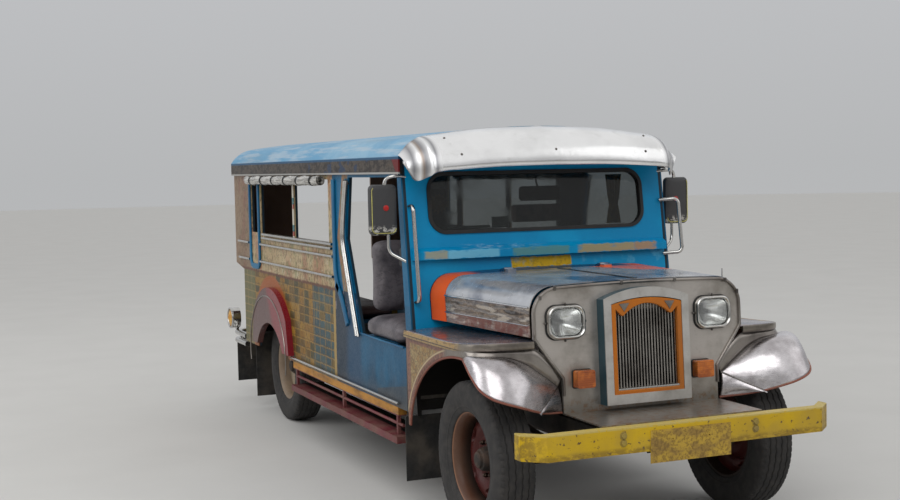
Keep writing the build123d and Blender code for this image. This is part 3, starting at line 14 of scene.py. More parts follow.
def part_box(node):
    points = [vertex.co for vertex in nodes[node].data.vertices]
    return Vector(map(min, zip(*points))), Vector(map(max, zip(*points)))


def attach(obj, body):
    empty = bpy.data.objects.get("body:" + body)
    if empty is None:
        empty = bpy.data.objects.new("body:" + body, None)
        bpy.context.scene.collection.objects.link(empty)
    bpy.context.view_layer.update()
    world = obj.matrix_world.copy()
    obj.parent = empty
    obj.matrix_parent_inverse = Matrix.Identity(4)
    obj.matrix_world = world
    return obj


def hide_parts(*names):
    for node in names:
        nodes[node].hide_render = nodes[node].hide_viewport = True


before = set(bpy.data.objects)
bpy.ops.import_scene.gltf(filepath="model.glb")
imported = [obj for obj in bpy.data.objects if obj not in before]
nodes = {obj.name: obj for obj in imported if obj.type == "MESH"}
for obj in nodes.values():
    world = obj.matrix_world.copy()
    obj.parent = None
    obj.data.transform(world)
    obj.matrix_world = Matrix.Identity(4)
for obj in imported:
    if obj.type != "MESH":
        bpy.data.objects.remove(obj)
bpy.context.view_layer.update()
sides = (-1, 1)
named_sides = ((1, "left"), (-1, "right"))
chassis = "chassis"


# Places read from the frame. nose_y is the line, behind the front axle, that the nose's shapes start from.

def box_of(node):
    """Low and high corner of a node's box."""
    return [np.array(corner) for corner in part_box(node)]


def middle(node):
    """Centre of a node's box."""
    low, high = box_of(node)
    return (low + high) / 2


axle_to_nose = 0.240
nose_y = float(middle("tyre_front_left")[1]) + axle_to_nose
rear_axle_y = float(middle("tyre_rear_left")[1])
tyre_half_width, tyre_radius = np.ptp(box_of("tyre_front_left"), axis=0)[:2] / 2
body_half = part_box("side_body_left")[1][0]
roof_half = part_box("roof")[1][0]
shoulder_x = roof_half - 0.164
bumper_front_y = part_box("front_bumper")[0][1]
step_top_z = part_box("side_steps")[1][2]

# Driving sizes of the added pieces. The arch is the front wheel's opening in the fender's skirt, part of an
# ellipse.

cab_lean = 0.139
cab_mid_y = nose_y + 0.567
cab_mid_z = 1.400
panel_lean = 0.055
panel_mid_y = nose_y - 0.519
panel_mid_z = 0.900
belt_z = 1.105
rim_radius = tyre_radius * 0.600
arch_centre_y = nose_y - 0.33
arch_centre_z = 0.44
arch_half_length = 0.70
arch_half_height = 0.487
mirror_low_z = 1.496


def cab_y(z):
    """y of the cab front's face at a height."""
    return cab_mid_y + cab_lean * (z - cab_mid_z)


def panel_y(z):
    """y of the front panel's face at a height."""
    return panel_mid_y + panel_lean * (z - panel_mid_z)


# Shapes: surfaces, sweeps and small parts.

def surface(points, close_rows=False, close_columns=False):
    """(corners, quads) of the surface through points[i, j]: each quad joins (i, j) to its next neighbours.

    close_rows joins the last row to the first, and close_columns the last column to the first.
    """
    points = np.asarray(points, float)
    rows, columns = points.shape[:2]
    i = np.arange(rows if close_rows else rows - 1)[:, None]
    j = np.arange(columns if close_columns else columns - 1)[None, :]
    next_i, next_j = (i + 1) % rows, (j + 1) % columns
    quads = np.stack(np.broadcast_arrays(
        i * columns + j, next_i * columns + j, next_i * columns + next_j, i * columns + next_j
    ), axis=-1)
    return points.reshape(-1, 3), quads.reshape(-1, 4)


def xyz(x, y, z):
    """Points from their x, y and z, which are spread to one shape."""
    return np.stack(np.broadcast_arrays(x, y, z), axis=-1)


def full_turn(steps):
    """Angles spread evenly over a full turn."""
    return np.arange(steps) * 2 * pi / steps


def ruled(first, second, rows, bulge=None):
    """Straight lines from one curve to another; bulge gives what is added at each share of the way."""
    share = np.linspace(0, 1, rows)[:, None, None]
    points = first * (1 - share) + second * share
    return surface(points if bulge is None else points + bulge(share))


def on_side(parts, side):
    """The parts, or with side -1 their mirror images across the middle of the vehicle."""
    return [(corners * (side, 1, 1), quads) for corners, quads in parts]


def mirrored(parts):
    """The parts and their mirror images."""
    return parts + on_side(parts, -1)


def piece(name, parts, finish, body=chassis, merge=1e-5, crease_deg=35.0, outward=True,
          wall=None):
    """One mesh object from a list of (corners, quads), its doubles merged, faces outward, riding on a body.

    wall gives an open sheet a thickness, laid half to each side, or to the inside where it is negative.
    """
    starts = np.cumsum([0] + [len(corners) for corners, quads in parts[:-1]])
    corners = np.concatenate([corners for corners, quads in parts])
    quads = np.concatenate([quads + start for (_, quads), start in zip(parts, starts)])
    mesh = bpy.data.meshes.new(name)
    mesh.from_pydata(corners.tolist(), [], quads.tolist())
    work = bmesh.new()
    work.from_mesh(mesh)
    bmesh.ops.remove_doubles(work, verts=work.verts, dist=merge)
    bmesh.ops.dissolve_degenerate(work, edges=work.edges, dist=1e-7)
    if outward:
        bmesh.ops.recalc_face_normals(work, faces=work.faces)
    work.to_mesh(mesh)
    work.free()
    mesh.shade_smooth()
    mesh.set_sharp_from_angle(angle=radians(crease_deg))
    obj = bpy.data.objects.new(name, mesh)
    bpy.context.scene.collection.objects.link(obj)
    mesh.materials.append(finish)
    if wall:
        depth = obj.modifiers.new("wall", "SOLIDIFY")
        depth.thickness, depth.offset, depth.use_even_offset = abs(wall), 0.0 if wall > 0 else -1.0, True
    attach(obj, body)
    return obj


def smooth_path(stops, steps=12):
    """Points on the curve through the stops: each span is a cubic with its neighbours' slopes at its ends."""
    stops = np.asarray(stops, float)
    ends = np.concatenate([[2 * stops[0] - stops[1]], stops, [2 * stops[-1] - stops[-2]]])
    a, b, c, d = ends[:-3, None], ends[1:-2, None], ends[2:-1, None], ends[3:, None]
    t = np.linspace(0, 1, steps, endpoint=False)[None, :, None]
    curve = 0.5 * (2 * b + (c - a) * t + (2 * a - 5 * b + 4 * c - d) * t**2 + (3 * b - a - 3 * c + d) * t**3)
    return np.concatenate([curve.reshape(-1, stops.shape[1]), stops[-1:]])


def rounded_path(stops, radius):
    """A route with straight runs whose corners are turned by arcs: each corner is a curve between two
    points that lie the radius away from it along its two runs, bent towards the corner."""
    stops = np.asarray(stops, float)
    before, corner, after = stops[:-2], stops[1:-1], stops[2:]
    into = before - corner
    out = after - corner
    into /= np.linalg.norm(into, axis=1, keepdims=True)
    out /= np.linalg.norm(out, axis=1, keepdims=True)
    t = np.linspace(0, 1, 6)[None, :, None]
    start, end = (corner + into * radius)[:, None], (corner + out * radius)[:, None]
    bends = (1 - t)**2 * start + 2 * t * (1 - t) * corner[:, None] + t**2 * end
    return np.concatenate([stops[:1], bends.reshape(-1, 3), stops[-1:]])


def along(path, outline, flat=None, close_path=False):
    """An outline (right, up) carried along a path: at each stop it stands square to the path's direction.

    flat is the direction that the outline's right side keeps to, at right angles to the path; without it
    the direction in which the path spreads least is taken. Caps are the end outlines drawn in to their
    centres.
    """
    path, outline = np.asarray(path, float), np.asarray(outline, float)
    if flat is None:
        flat = np.linalg.svd(path - path.mean(axis=0))[2][-1]
    run = np.roll(path, -1, axis=0) - np.roll(path, 1, axis=0) if close_path else np.gradient(path, axis=0)
    run /= np.linalg.norm(run, axis=1, keepdims=True)
    right = flat - run * (run @ np.asarray(flat, float))[:, None]
    right /= np.linalg.norm(right, axis=1, keepdims=True)
    up = np.cross(run, right)
    rings = path[:, None] + right[:, None] * outline[None, :, :1] + up[:, None] * outline[None, :, 1:]
    if not close_path:
        start, end = (np.repeat(ring.mean(axis=1, keepdims=True), len(outline), axis=1)
                      for ring in (rings[:1], rings[-1:]))
        rings = np.concatenate([start, rings, end])
    return surface(rings, close_rows=close_path, close_columns=True)


def circle(radius, steps=14):
    """A circle as an outline."""
    turn = full_turn(steps)
    return np.stack([radius * np.cos(turn), radius * np.sin(turn)], axis=1)


def tube(path, radius, steps=14, **how):
    """A round bar along a path."""
    return along(path, circle(radius, steps), **how)


def spun(x, reach, turn, centre, side):
    """Surface of the points at x outwards and reach away from the x axis through centre, for each turn
    about it; side -1 mirrors it."""
    return surface(xyz(x * side, reach * np.cos(turn), reach * np.sin(turn)) + centre, close_columns=True)


def turned(profile, steps, centre, side):
    """A profile of (x outwards, radius) turned about the x axis through centre."""
    profile = np.asarray(profile, float)
    return spun(profile[:, :1], profile[:, 1:], full_turn(steps), centre, side)


def rounded_rectangle(width, height, corner, steps=6):
    """Outline of a rectangle with arcs for corners: four arc centres, each with a quarter turn round it."""
    turn = (np.arange(4)[:, None] + np.linspace(0, 1, steps)[None, :]) * pi / 2
    sign_x, sign_y = np.array([1, -1, -1, 1])[:, None], np.array([1, 1, -1, -1])[:, None]
    x = sign_x * (width / 2 - corner) + corner * np.cos(turn)
    y = sign_y * (height / 2 - corner) + corner * np.sin(turn)
    return np.stack([x.ravel(), y.ravel()], axis=1)


def raised(outline, levels, origin, right=(1, 0, 0), up=(0, 0, 1), back=None):
    """Outlines stacked above a plane: each level is (height, inset), and the inset draws the outline in.

    The outline is drawn in towards its own centre by the inset along each axis, the last level closes flat,
    and back, if given, closes the first one.
    """
    outline = np.asarray(outline, float)
    right, up = np.asarray(right, float), np.asarray(up, float)
    outward = np.cross(right, up)
    span = np.abs(outline).max(axis=0)
    levels = list(levels) + [(levels[-1][0], span.max())]
    if back is not None:
        levels.insert(0, (back, span.max()))
    height = np.array([level[0] for level in levels])[:, None, None]
    inset = np.array([level[1] for level in levels])[:, None]
    shrink = np.clip(1 - inset / span, 0, 1)[:, None, :]
    flat = outline[None] * shrink
    points = np.asarray(origin) + flat[..., :1] * right + flat[..., 1:] * up + height * outward
    return surface(points, close_columns=True)


def square_to(direction):
    """A unit direction and two others that stand square to it and to each other."""
    ahead = np.asarray(direction, float) / np.linalg.norm(direction)
    aside = np.cross(ahead, (0, 0, 1) if abs(ahead[2]) < 0.9 else (1, 0, 0))
    aside /= np.linalg.norm(aside)
    return ahead, aside, np.cross(ahead, aside)


def domes(centres, outward, radius, height):
    """A low dome at each centre: a quarter arc from rim to crown turned about the outward direction."""
    outward, aside, other = square_to(outward)
    turn = full_turn(10)
    ring = aside * np.cos(turn)[:, None] + other * np.sin(turn)[:, None]
    rise = np.linspace(0, pi / 2, 4)[:, None, None]
    dome = ring * radius * np.cos(rise) + outward * height * np.sin(rise)
    return [surface(centre + dome, close_columns=True) for centre in np.atleast_2d(centres)]


def hexagon_bolts(centres, outward, radius, height):
    """A hexagonal head with a bevelled top at each centre."""
    aside, up = square_to(outward)[1:]
    levels = ((0, 0), (height * 0.8, 0), (height, radius * 0.15))
    return [raised(circle(radius, 6), levels, centre, aside, up) for centre in centres]


# Finishes: the node helper and the general materials.

def linear(colour):
    """The shader's linear colour for screen values from 0 to 255, by the usual screen curve."""
    screen = np.array(colour) / 255
    light = np.where(screen <= 0.04045, screen / 12.92, ((screen + 0.055) / 1.055) ** 2.4)
    return (*light.tolist(), 1.0)


class Finish:
    """A procedural material: each method adds a node and returns the socket that the next one takes.

    Every pattern is a function of the Object coordinates, in metres.
    """

    def __init__(self, name):
        self.material = bpy.data.materials.new(name)
        self.material.use_nodes = True
        self.tree = self.material.node_tree
        self.shader = self.tree.nodes["Principled BSDF"]
        place = self.tree.nodes.new("ShaderNodeTexCoord")
        self.place, self.facing = place.outputs["Object"], place.outputs["Normal"]
        split = self.add("ShaderNodeSeparateXYZ", Vector=self.place)
        self.x, self.y, self.z = split.outputs
        self.beside = self.maths("ABSOLUTE", self.x)
        self.wear = {}

    def add(self, kind, settings=None, **inputs):
        """A node of a kind, with its settings made and its inputs fed."""
        node = self.tree.nodes.new(kind)
        for key, value in (settings or {}).items():
            setattr(node, key, value)
        for key, value in inputs.items():
            self.feed(node.inputs[key], value)
        return node

    def feed(self, socket, value):
        """Links a socket's source, or sets its number or its colour."""
        if isinstance(value, bpy.types.NodeSocket):
            self.tree.links.new(value, socket)
        else:
            socket.default_value = linear(value) if isinstance(value, tuple) else value

    def maths(self, kind, *values, clamp=False):
        """One step of arithmetic on numbers or sockets."""
        node = self.tree.nodes.new("ShaderNodeMath")
        node.operation, node.use_clamp = kind, clamp
        for socket, value in zip(node.inputs, values):
            self.feed(socket, value)
        return node.outputs[0]

    def cloud(self, size, detail=4.0, rough=0.55, stretch=(1, 1, 1), shift=0.0):
        """Noise from 0 to 1 in patches about size metres across, drawn out by stretch along x, y, z."""
        spread = self.add("ShaderNodeVectorMath", {"operation": "MULTIPLY_ADD"})
        self.feed(spread.inputs[0], self.place)
        spread.inputs[1].default_value = [1 / (size * long) for long in stretch]
        spread.inputs[2].default_value = (shift, shift, shift)
        noise = self.add("ShaderNodeTexNoise", Vector=spread.outputs[0], Scale=1.0, Detail=detail,
                         Roughness=rough)
        return noise.outputs["Fac"]

    def rise(self, value, low, high, start=0.0, end=1.0):
        """start below low, end above high, and a smooth slope between."""
        return self.add("ShaderNodeMapRange", {"interpolation_type": "SMOOTHSTEP"}, **{
            "Value": value, "From Min": low, "From Max": high, "To Min": start, "To Max": end}).outputs[0]

    def within(self, value, low, high, soft=0.003):
        """1 between low and high, 0 outside, with soft edges."""
        return self.both(self.rise(value, low - soft, low + soft),
                         self.rise(value, high - soft, high + soft, 1.0, 0.0))

    def both(self, *masks):
        """The masks' product."""
        result = masks[0]
        for mask in masks[1:]:
            result = self.maths("MULTIPLY", result, mask)
        return result

    def either(self, *masks):
        """The highest of the masks."""
        result = masks[0]
        for mask in masks[1:]:
            result = self.maths("MAXIMUM", result, mask)
        return result

    def distance(self, across, up):
        """Root of the sum of two squares."""
        return self.maths("SQRT",
                          self.maths("ADD", self.maths("POWER", across, 2.0), self.maths("POWER", up, 2.0)))

    def behind(self, lean, y, z):
        """How far a place lies behind a plane through y and z that leans back by a share of its height."""
        return self.maths("SUBTRACT", self.y, self.maths("MULTIPLY_ADD", self.z, lean, y - lean * z))

    def bars(self, direction, scale, **how):
        """Waves from 0 to 1 along one direction."""
        return self.add("ShaderNodeTexWave", {"bands_direction": direction}, Vector=self.place, Scale=scale,
                        **how).outputs["Fac"]

    def mix(self, share, first, second):
        """The first colour where share is 0, the second where it is 1."""
        node = self.add("ShaderNodeMix", {"data_type": "RGBA"})
        self.feed(node.inputs[0], share)
        self.feed(node.inputs[6], first)
        self.feed(node.inputs[7], second)
        return node.outputs[2]

    def painted(self, base, *layers):
        """Layers of (mask, colour) laid over a base, each where its mask is 1."""
        for mask, colour in layers:
            base = self.mix(mask, base, colour)
        return base

    def ramp(self, value, *stops, steps=False):
        """Colours by a value: each stop is (position, colour), with straight slopes or steps between."""
        node = self.add("ShaderNodeValToRGB", Fac=value)
        band = node.color_ramp
        band.interpolation = "CONSTANT" if steps else "LINEAR"
        while len(band.elements) < len(stops):
            band.elements.new(0.5)
        for element, (position, colour) in zip(band.elements, stops):
            element.position, element.color = position, linear(colour)
        return node.outputs["Color"]

    def relief(self, height, depth, strength=1.0, below=None):
        """Bump of the given depth in metres, laid over another one if there is one."""
        node = self.add("ShaderNodeBump", Height=height, Distance=depth, Strength=strength)
        if below is not None:
            self.feed(node.inputs["Normal"], below)
        return node.outputs["Normal"]

    def done(self, base, **sockets):
        """Feeds the shader's sockets: the base colour, the wear's roughness and normal if there are any,
        and others by name, where underscores stand for spaces."""
        for key, value in {"Base Color": base, **self.wear, **sockets}.items():
            self.feed(self.shader.inputs[key.replace("_", " ")], value)
        return self.material


def worn_paint(name, colour, faded, bare=(111.3, 89.0, 74.8), wear=0.66, gloss=0.32, dust=0.45, streak=0.0):
    """Paint with faded clouds, scratches, chips down to a bare tone, streaks, and road dust low down."""
    f = Finish(name)
    f.shader.inputs["Specular IOR Level"].default_value = 0.26
    clouds = f.rise(f.cloud(0.5, 5), 0.42, 0.72)
    fine = f.cloud(0.012, 6, 0.7)
    chips = f.rise(f.cloud(0.028, 8, 0.68, shift=3.1), wear, wear + 0.03)
    scratches = f.rise(f.cloud(0.01, 3, 0.5, (1, 9, 1), 7.0), 0.72, 0.78, 0.0, 0.5)
    runs = f.rise(f.cloud(0.035, 4, 0.6, (1, 1, 14), 1.7), 0.5, 0.85, 0.0, streak)
    low_dust = f.both(f.rise(f.z, 0.35, 0.95, dust, 0.0), f.rise(f.cloud(0.12, 6), 0.3, 0.7))
    base = f.painted(
        f.mix(clouds, colour, faded), (f.rise(fine, 0.35, 0.75, 0.0, 0.18), faded), (runs, faded),
        (scratches, faded), (chips, bare), (low_dust, (120, 108, 92)))
    rough = f.maths("ADD", f.rise(fine, 0.3, 0.8, gloss, gloss + 0.22), f.both(low_dust, 0.4), clamp=True)
    dents = f.relief(f.cloud(0.34, 2, 0.4), 0.010, 0.35)
    f.wear = {"Roughness": rough, "Normal": f.relief(
        f.maths("SUBTRACT", f.both(fine, 0.3), chips), 0.0006, 0.6, dents)}
    return f, base


def simple_paint(name, colour, faded, **how):
    """The worn paint with nothing laid over it."""
    f, base = worn_paint(name, colour, faded, **how)
    return f.done(base)


def metal(name, light, dark, rough=0.2, brush=(1, 1, 30), grime=(70, 60, 50), dirt=0.4, dents=0.3,
          low=None):
    """Bare sheet metal: brushed lines, tarnished clouds, smudges that dull it, and shallow dents."""
    f = Finish(name)
    lines = f.cloud(0.0016, 3, 0.5, brush)
    tarnish = f.rise(f.cloud(0.22, 6, 0.6), 0.38, 0.72)
    smudge = f.rise(f.cloud(0.06, 7, 0.65, shift=4.0), 0.56, 0.76, 0.0, dirt)
    if low is not None:
        smudge = f.either(smudge, f.both(f.rise(f.z, low, low + 0.25, 0.8, 0.0), f.cloud(0.05, 6)))
    base = f.painted(f.mix(tarnish, light, dark), (f.rise(lines, 0.35, 0.7, 0.0, 0.12), dark),
                     (smudge, grime))
    roughness = f.maths("ADD", f.rise(lines, 0.3, 0.7, rough * 0.9, rough * 1.2),
                        f.both(smudge, 0.45), clamp=True)
    waves = f.relief(f.cloud(0.16, 3, 0.5), 0.012, dents)
    f.wear = {"Roughness": roughness, "Normal": f.relief(lines, 0.0001, 0.18, waves)}
    return f, base


def simple_metal(name, light, dark, **how):
    """The bare metal with nothing laid over it."""
    f, base = metal(name, light, dark, **how)
    return f.done(base, Metallic=1.0)


def chrome_finish():
    """Plated trim: bright and nearly smooth, with faint clouds and pits of rust."""
    f = Finish("chrome")
    clouds = f.cloud(0.05, 5)
    pits = f.rise(f.cloud(0.008, 6, 0.7), 0.68, 0.74)
    base = f.painted(f.mix(clouds, (214, 214, 212), (168, 165, 160)), (pits, (110, 82, 60)))
    return f.done(base, Metallic=1.0, Roughness=f.rise(clouds, 0.3, 0.8, 0.10, 0.3),
                  Normal=f.relief(pits, 0.0003, 0.4))


def vinyl(name, light, dark, crease):
    """Creased seat cover: wrinkles as ridged noise, painted shade along the creases, fine grain, rubbed
    patches.
    """
    f = Finish(name)
    wrinkles = f.maths("ABSOLUTE", f.maths("SUBTRACT", f.cloud(crease, 5, 0.6, (1.6, 1, 0.8)), 0.5))
    folds = f.rise(wrinkles, 0.0, 0.05, 0.0, 1.0)
    grain = f.cloud(0.002, 3, 0.6)
    rub = f.rise(f.cloud(0.14, 5), 0.4, 0.7)
    # painted shade: the colour darkens along the crease lines
    base = f.painted(f.mix(rub, light, dark), (f.rise(wrinkles, 0.0, 0.03, 0.55, 0.0), dark))
    normal = f.relief(grain, 0.0004, 0.5, f.relief(folds, 0.003, 0.5))
    return f.done(base, Roughness=f.rise(grain, 0.3, 0.7, 0.38, 0.53), Normal=normal)


# Finishes of this vehicle.

deep_blue, worn_blue, pale_blue = (0, 132, 184), (0, 150, 200), (104, 180, 208)
# near black, laid as painted shade on faces that lie in shadow
painted_shade_black = (28, 25, 23)


def cab_blue():
    """Cab front: blue, patched colours on the ledge's front, a yellow patch below it, white scuffs above."""
    f, base = worn_paint("cab_blue", deep_blue, worn_blue, bare=(120, 140, 150), wear=0.72, gloss=0.30)
    jitter = f.maths("MULTIPLY_ADD", f.cloud(0.04, 5), 0.024, -0.012)
    edge_z, edge_x = f.maths("ADD", f.z, jitter), f.maths("ADD", f.x, jitter)
    on_ledge = f.within(edge_z, 1.357, 1.402)
    ledge_patches = (
        # from x, to x, colour
        (-0.74, -0.60, (158, 158, 132)), (-0.60, -0.29, (116, 188, 216)),
        (-0.205, 0.152, (92, 142, 138)), (0.21, 0.585, (170, 152, 98)), (0.585, 0.73, (172, 138, 92)),
    )
    for start, end, colour in ledge_patches:
        streaks = f.rise(f.cloud(0.05, 6, 0.65, (3, 1, 1), start), 0.28, 0.46)
        base = f.mix(f.both(on_ledge, f.within(edge_x, start, end, 0.010), streaks, 0.85), base, colour)
    yellow = f.both(f.within(edge_z, 1.286, 1.343), f.within(edge_x, -0.20, 0.18, 0.004))
    scuffs = f.both(f.within(edge_z, 1.402, 1.425, 0.012), f.within(f.x, -0.46, -0.04, 0.10),
                    f.rise(f.cloud(0.014, 7, 0.7, (5, 1, 1), 2.0), 0.50, 0.60, 0, 0.6))
    low_scuffs = f.both(f.within(edge_z, 1.26, 1.35, 0.02),
                        f.rise(f.cloud(0.11, 6, 0.6, shift=5.0), 0.56, 0.68, 0, 0.4))
    # painted shade: the cab front's inside, behind its face, in dark blue-grey, and its face below the fender
    # tops near black
    inside = f.rise(f.y, -1.20, -1.18)
    grubby = f.rise(f.cloud(0.02, 6, 0.7), 0.50, 0.62, 0, 0.45)
    below_fender_shade = f.rise(f.z, 0.98, 0.90)
    base = f.painted(base, (yellow, f.mix(grubby, (206, 166, 24), (112, 92, 40))),
                     (scuffs, (176, 204, 216)), (low_scuffs, pale_blue), (below_fender_shade, painted_shade_black),
                     (f.both(inside, f.rise(f.z, 1.0, 1.02)), (46, 62, 70)))
    return f.done(base)


def cowl_paint():
    """Cowl round the hood's rear: orange on its sides, lined with black, and cab blue towards the top."""
    f, base = worn_paint("cowl_paint", (214, 78, 14), (222, 98, 30), bare=(90, 60, 50))
    top = f.either(f.rise(f.beside, 0.54, 0.44), f.rise(f.z, 1.290, 1.294))
    base = f.mix(top, base, f.mix(f.cloud(0.05, 5), (4, 76, 122), (30, 50, 66)))
    line = f.behind(cab_lean, cab_mid_y, cab_mid_z)
    base = f.painted(base, (f.rise(line, -0.012, -0.009), (16, 18, 22)))
    return f.done(base)


def roof_paint():
    """Roof: pale sky blue, long white streaks; edge boards mottled brown and painted silver reflection over a
    chrome lip.
    """
    f, base = worn_paint("roof_paint", (84, 148, 186), (134, 174, 198), bare=(150, 154, 154), wear=0.68,
                         gloss=0.34, dust=0.0)
    streak = f.rise(f.cloud(0.05, 6, 0.6, (1, 12, 1), 2.0), 0.48, 0.62, 0, 0.65)
    grime = f.rise(f.cloud(0.3, 6, 0.6, (1, 3, 1), 6.0), 0.5, 0.78, 0, 0.5)
    base = f.painted(base, (streak, (168, 184, 196)), (grime, (96, 124, 140)))
    edge_line = f.within(f.z, 1.912, 1.930)
    board = f.rise(f.z, 1.922, 1.916)
    blotch = f.cloud(0.035, 8, 0.7, (1, 1.8, 1), 1.0)
    # the boards' own mottle is the dark browns; the light grey patches are painted reflection
    board_colour = f.ramp(blotch, (0.3, (26, 22, 20)), (0.46, (48, 41, 38)), (0.54, (88, 80, 72)),
                          (0.60, (44, 32, 26)), (0.70, (134, 118, 102)), (0.76, (80, 50, 30)))
    blocks = f.both(f.rise(f.cloud(0.055, 2, 0.4, (1, 2.2, 1), 9.0), 0.56, 0.58),
                    f.within(f.y, -0.75, 0.45, 0.02))
    red_end = f.rise(f.maths("MULTIPLY_ADD", f.z, -0.9, f.y), -2.85, -2.86)
    lip = f.rise(f.z, 1.843, 1.838)
    outside = f.rise(f.beside, roof_half - 0.010, roof_half - 0.007)
    board_colour = f.painted(board_colour, (blocks, (34, 52, 78)), (red_end, (104, 24, 26)),
                             (lip, (200, 198, 194)))
    # painted shade: faces of the roof's inside that look down are painted dark grey, and the boards' inner
    # faces near black
    under = f.rise(f.both(f.add("ShaderNodeSeparateXYZ", Vector=f.facing).outputs[2], -1.0), 0.2, 0.4)
    base = f.painted(base, (board, board_colour), (f.both(board, f.maths("SUBTRACT", 1.0, outside)), painted_shade_black),
                     (f.both(under, f.rise(f.beside, roof_half - 0.003, roof_half - 0.006)), (70, 66, 62)),
                     (f.both(edge_line, f.rise(f.z, 1.93, 1.924)), (30, 80, 116)))
    return f.done(base, Metallic=f.both(lip, outside))


def side_paint():
    """Body sides: cream above the belt, a chequer of ochre and teal below it, blues towards the front."""
    f, base = worn_paint("side_paint", (176, 154, 116), (192, 174, 138), bare=(84, 62, 42), wear=0.64,
                         gloss=0.30)
    fine = f.cloud(0.022, 7, 0.7, (1, 1, 1.8), 4.0)
    broad = f.cloud(0.16, 4, 0.6, (1, 1, 2.2), 8.0)
    cream = f.painted(base, (f.rise(broad, 0.52, 0.62, 0, 0.6), (160, 104, 82)),
                      (f.rise(f.cloud(0.1, 4, 0.6, shift=2.6), 0.54, 0.64, 0, 0.6), (120, 126, 84)),
                      (f.rise(fine, 0.52, 0.58, 0, 0.8), (92, 70, 44)),
                      (f.rise(f.cloud(0.05, 6, 0.65, (1, 1.4, 1), 5.2), 0.60, 0.66, 0, 0.7),
                       (196, 186, 158)))
    jitter = f.maths("MULTIPLY_ADD", f.cloud(0.03, 5), 0.016, -0.008)
    y, z = f.maths("ADD", f.y, jitter), f.maths("ADD", f.z, jitter)
    # chequer: columns of low blocks in rows, parted by ochre and dark lines
    rows, columns = f.maths("DIVIDE", z, 0.058), f.maths("DIVIDE", y, 0.118)
    row, column = f.maths("FRACT", rows), f.maths("FRACT", columns)
    row_line = f.either(f.rise(row, 0.20, 0.10), f.rise(column, 0.12, 0.06))
    dark_line = f.either(f.within(row, 0.20, 0.28, 0.04), f.rise(column, 0.95, 0.98))
    block = f.add("ShaderNodeCombineXYZ", X=f.maths("FLOOR", rows), Y=f.maths("FLOOR", columns)).outputs[0]
    block_tone = f.add("ShaderNodeTexWhiteNoise", {"noise_dimensions": "2D"}, Vector=block).outputs["Value"]
    rear_blocks = f.ramp(block_tone, (0.0, (146, 104, 28)), (0.35, (106, 80, 30)), (0.6, (162, 122, 42)),
                         (0.82, (78, 72, 40)), steps=True)
    front_blocks = f.ramp(block_tone, (0.0, (48, 78, 88)), (0.3, (70, 86, 78)),
                          (0.55, (60, 90, 96)), (0.85, (122, 98, 44)), steps=True)
    blocks = f.mix(f.rise(y, 0.50, 0.51), front_blocks, rear_blocks)
    blocks = f.painted(blocks, (f.both(row_line, 0.7), (170, 132, 58)),
                       (f.both(dark_line, 0.6), (70, 58, 34)),
                       (f.rise(fine, 0.53, 0.59, 0, 0.7), (82, 68, 38)),
                       (f.rise(broad, 0.56, 0.66, 0, 0.35), (164, 140, 88)))
    # the ring of orange round the rear wheel's fender, and the pale rear quarter
    from_arch = f.distance(f.maths("SUBTRACT", f.y, rear_axle_y), f.maths("SUBTRACT", f.z, 0.55))
    orange = f.rise(f.maths("ADD", from_arch, jitter), 0.545, 0.525)
    lower = f.painted(blocks, (f.rise(y, 2.02, 2.03), f.mix(row_line, (110, 106, 66), (150, 132, 84))),
                      (orange, (170, 92, 34)), (f.rise(y, 0.060, 0.056), (176, 146, 84)))
    # towards the doorway: streaked grey-blue, then deep blue
    runs = f.cloud(0.03, 5, 0.6, (1, 1, 9), 3.3)
    grey_blue = f.mix(runs, (14, 36, 58), (40, 62, 80))
    marks = f.both(f.rise(f.cloud(0.045, 5, 0.6, (1, 1, 1.6), 7.7), 0.56, 0.60, 0, 0.75),
                   f.rise(f.z, 0.86, 0.98))
    grey_blue = f.painted(grey_blue, (marks, (140, 132, 138)),
                          (f.rise(f.maths("ADD", f.y, f.both(f.z, 0.1)), -0.08, -0.2, 0, 0.6),
                           (24, 84, 124)))
    blue = f.painted(f.mix(f.rise(broad, 0.4, 0.7, 0, 0.6), (0, 86, 124), (20, 110, 150)),
                     (f.rise(f.maths("ADD", f.z, f.both(broad, 0.2)), 0.86, 0.66, 0, 0.55), (36, 54, 70)))
    corner = f.rise(f.maths("MULTIPLY_ADD", f.y, 0.16, f.z), 0.46, 0.452)
    # the last layer darkens the whole lower side by a fifth: painted shade of the side, which stands in shade
    lower = f.painted(lower, (f.rise(y, 0.012, 0.006), grey_blue), (f.rise(f.y, -0.42, -0.52), blue),
                      (f.both(corner, f.rise(f.y, -0.75, -0.76)), (56, 72, 86)), (0.2, (22, 24, 24)))
    seam = f.within(z, belt_z - 0.014, belt_z + 0.006, 0.005)
    # above the belt: a dark brown-rose at the rear, partly painted shade; blue ahead of the first window; a
    # patterned strip that leans
    cream = f.painted(cream, (f.rise(f.y, 2.10, 2.13, 0, 0.6), (96, 62, 56)),
                      (f.rise(f.y, 0.016, 0.012), blue))
    strip = f.ramp(f.cloud(0.04, 5, 0.6, (1, 0.7, 2.6), 6.1), (0.32, (40, 72, 92)), (0.44, (150, 132, 104)),
                   (0.5, (150, 92, 62)), (0.58, (92, 104, 70)), (0.68, (166, 148, 120)))
    leaning = f.maths("MULTIPLY_ADD", f.maths("ABSOLUTE", f.maths("SUBTRACT", f.z, 1.43)), 0.3, f.y)
    cream = f.painted(cream, (f.both(f.within(leaning, -0.175, -0.062, 0.003), f.rise(f.z, 1.08, 1.10)),
                              strip))
    paint = f.painted(f.mix(f.rise(z, belt_z - 0.003, belt_z), lower, cream),
                      (f.both(seam, f.rise(f.y, 0.0, 0.01), f.rise(fine, 0.3, 0.5)), (96, 56, 40)),
                      (f.both(f.rise(f.z, 0.62, 0.5, 0, 0.7), f.cloud(0.06, 6)), (112, 100, 84)))
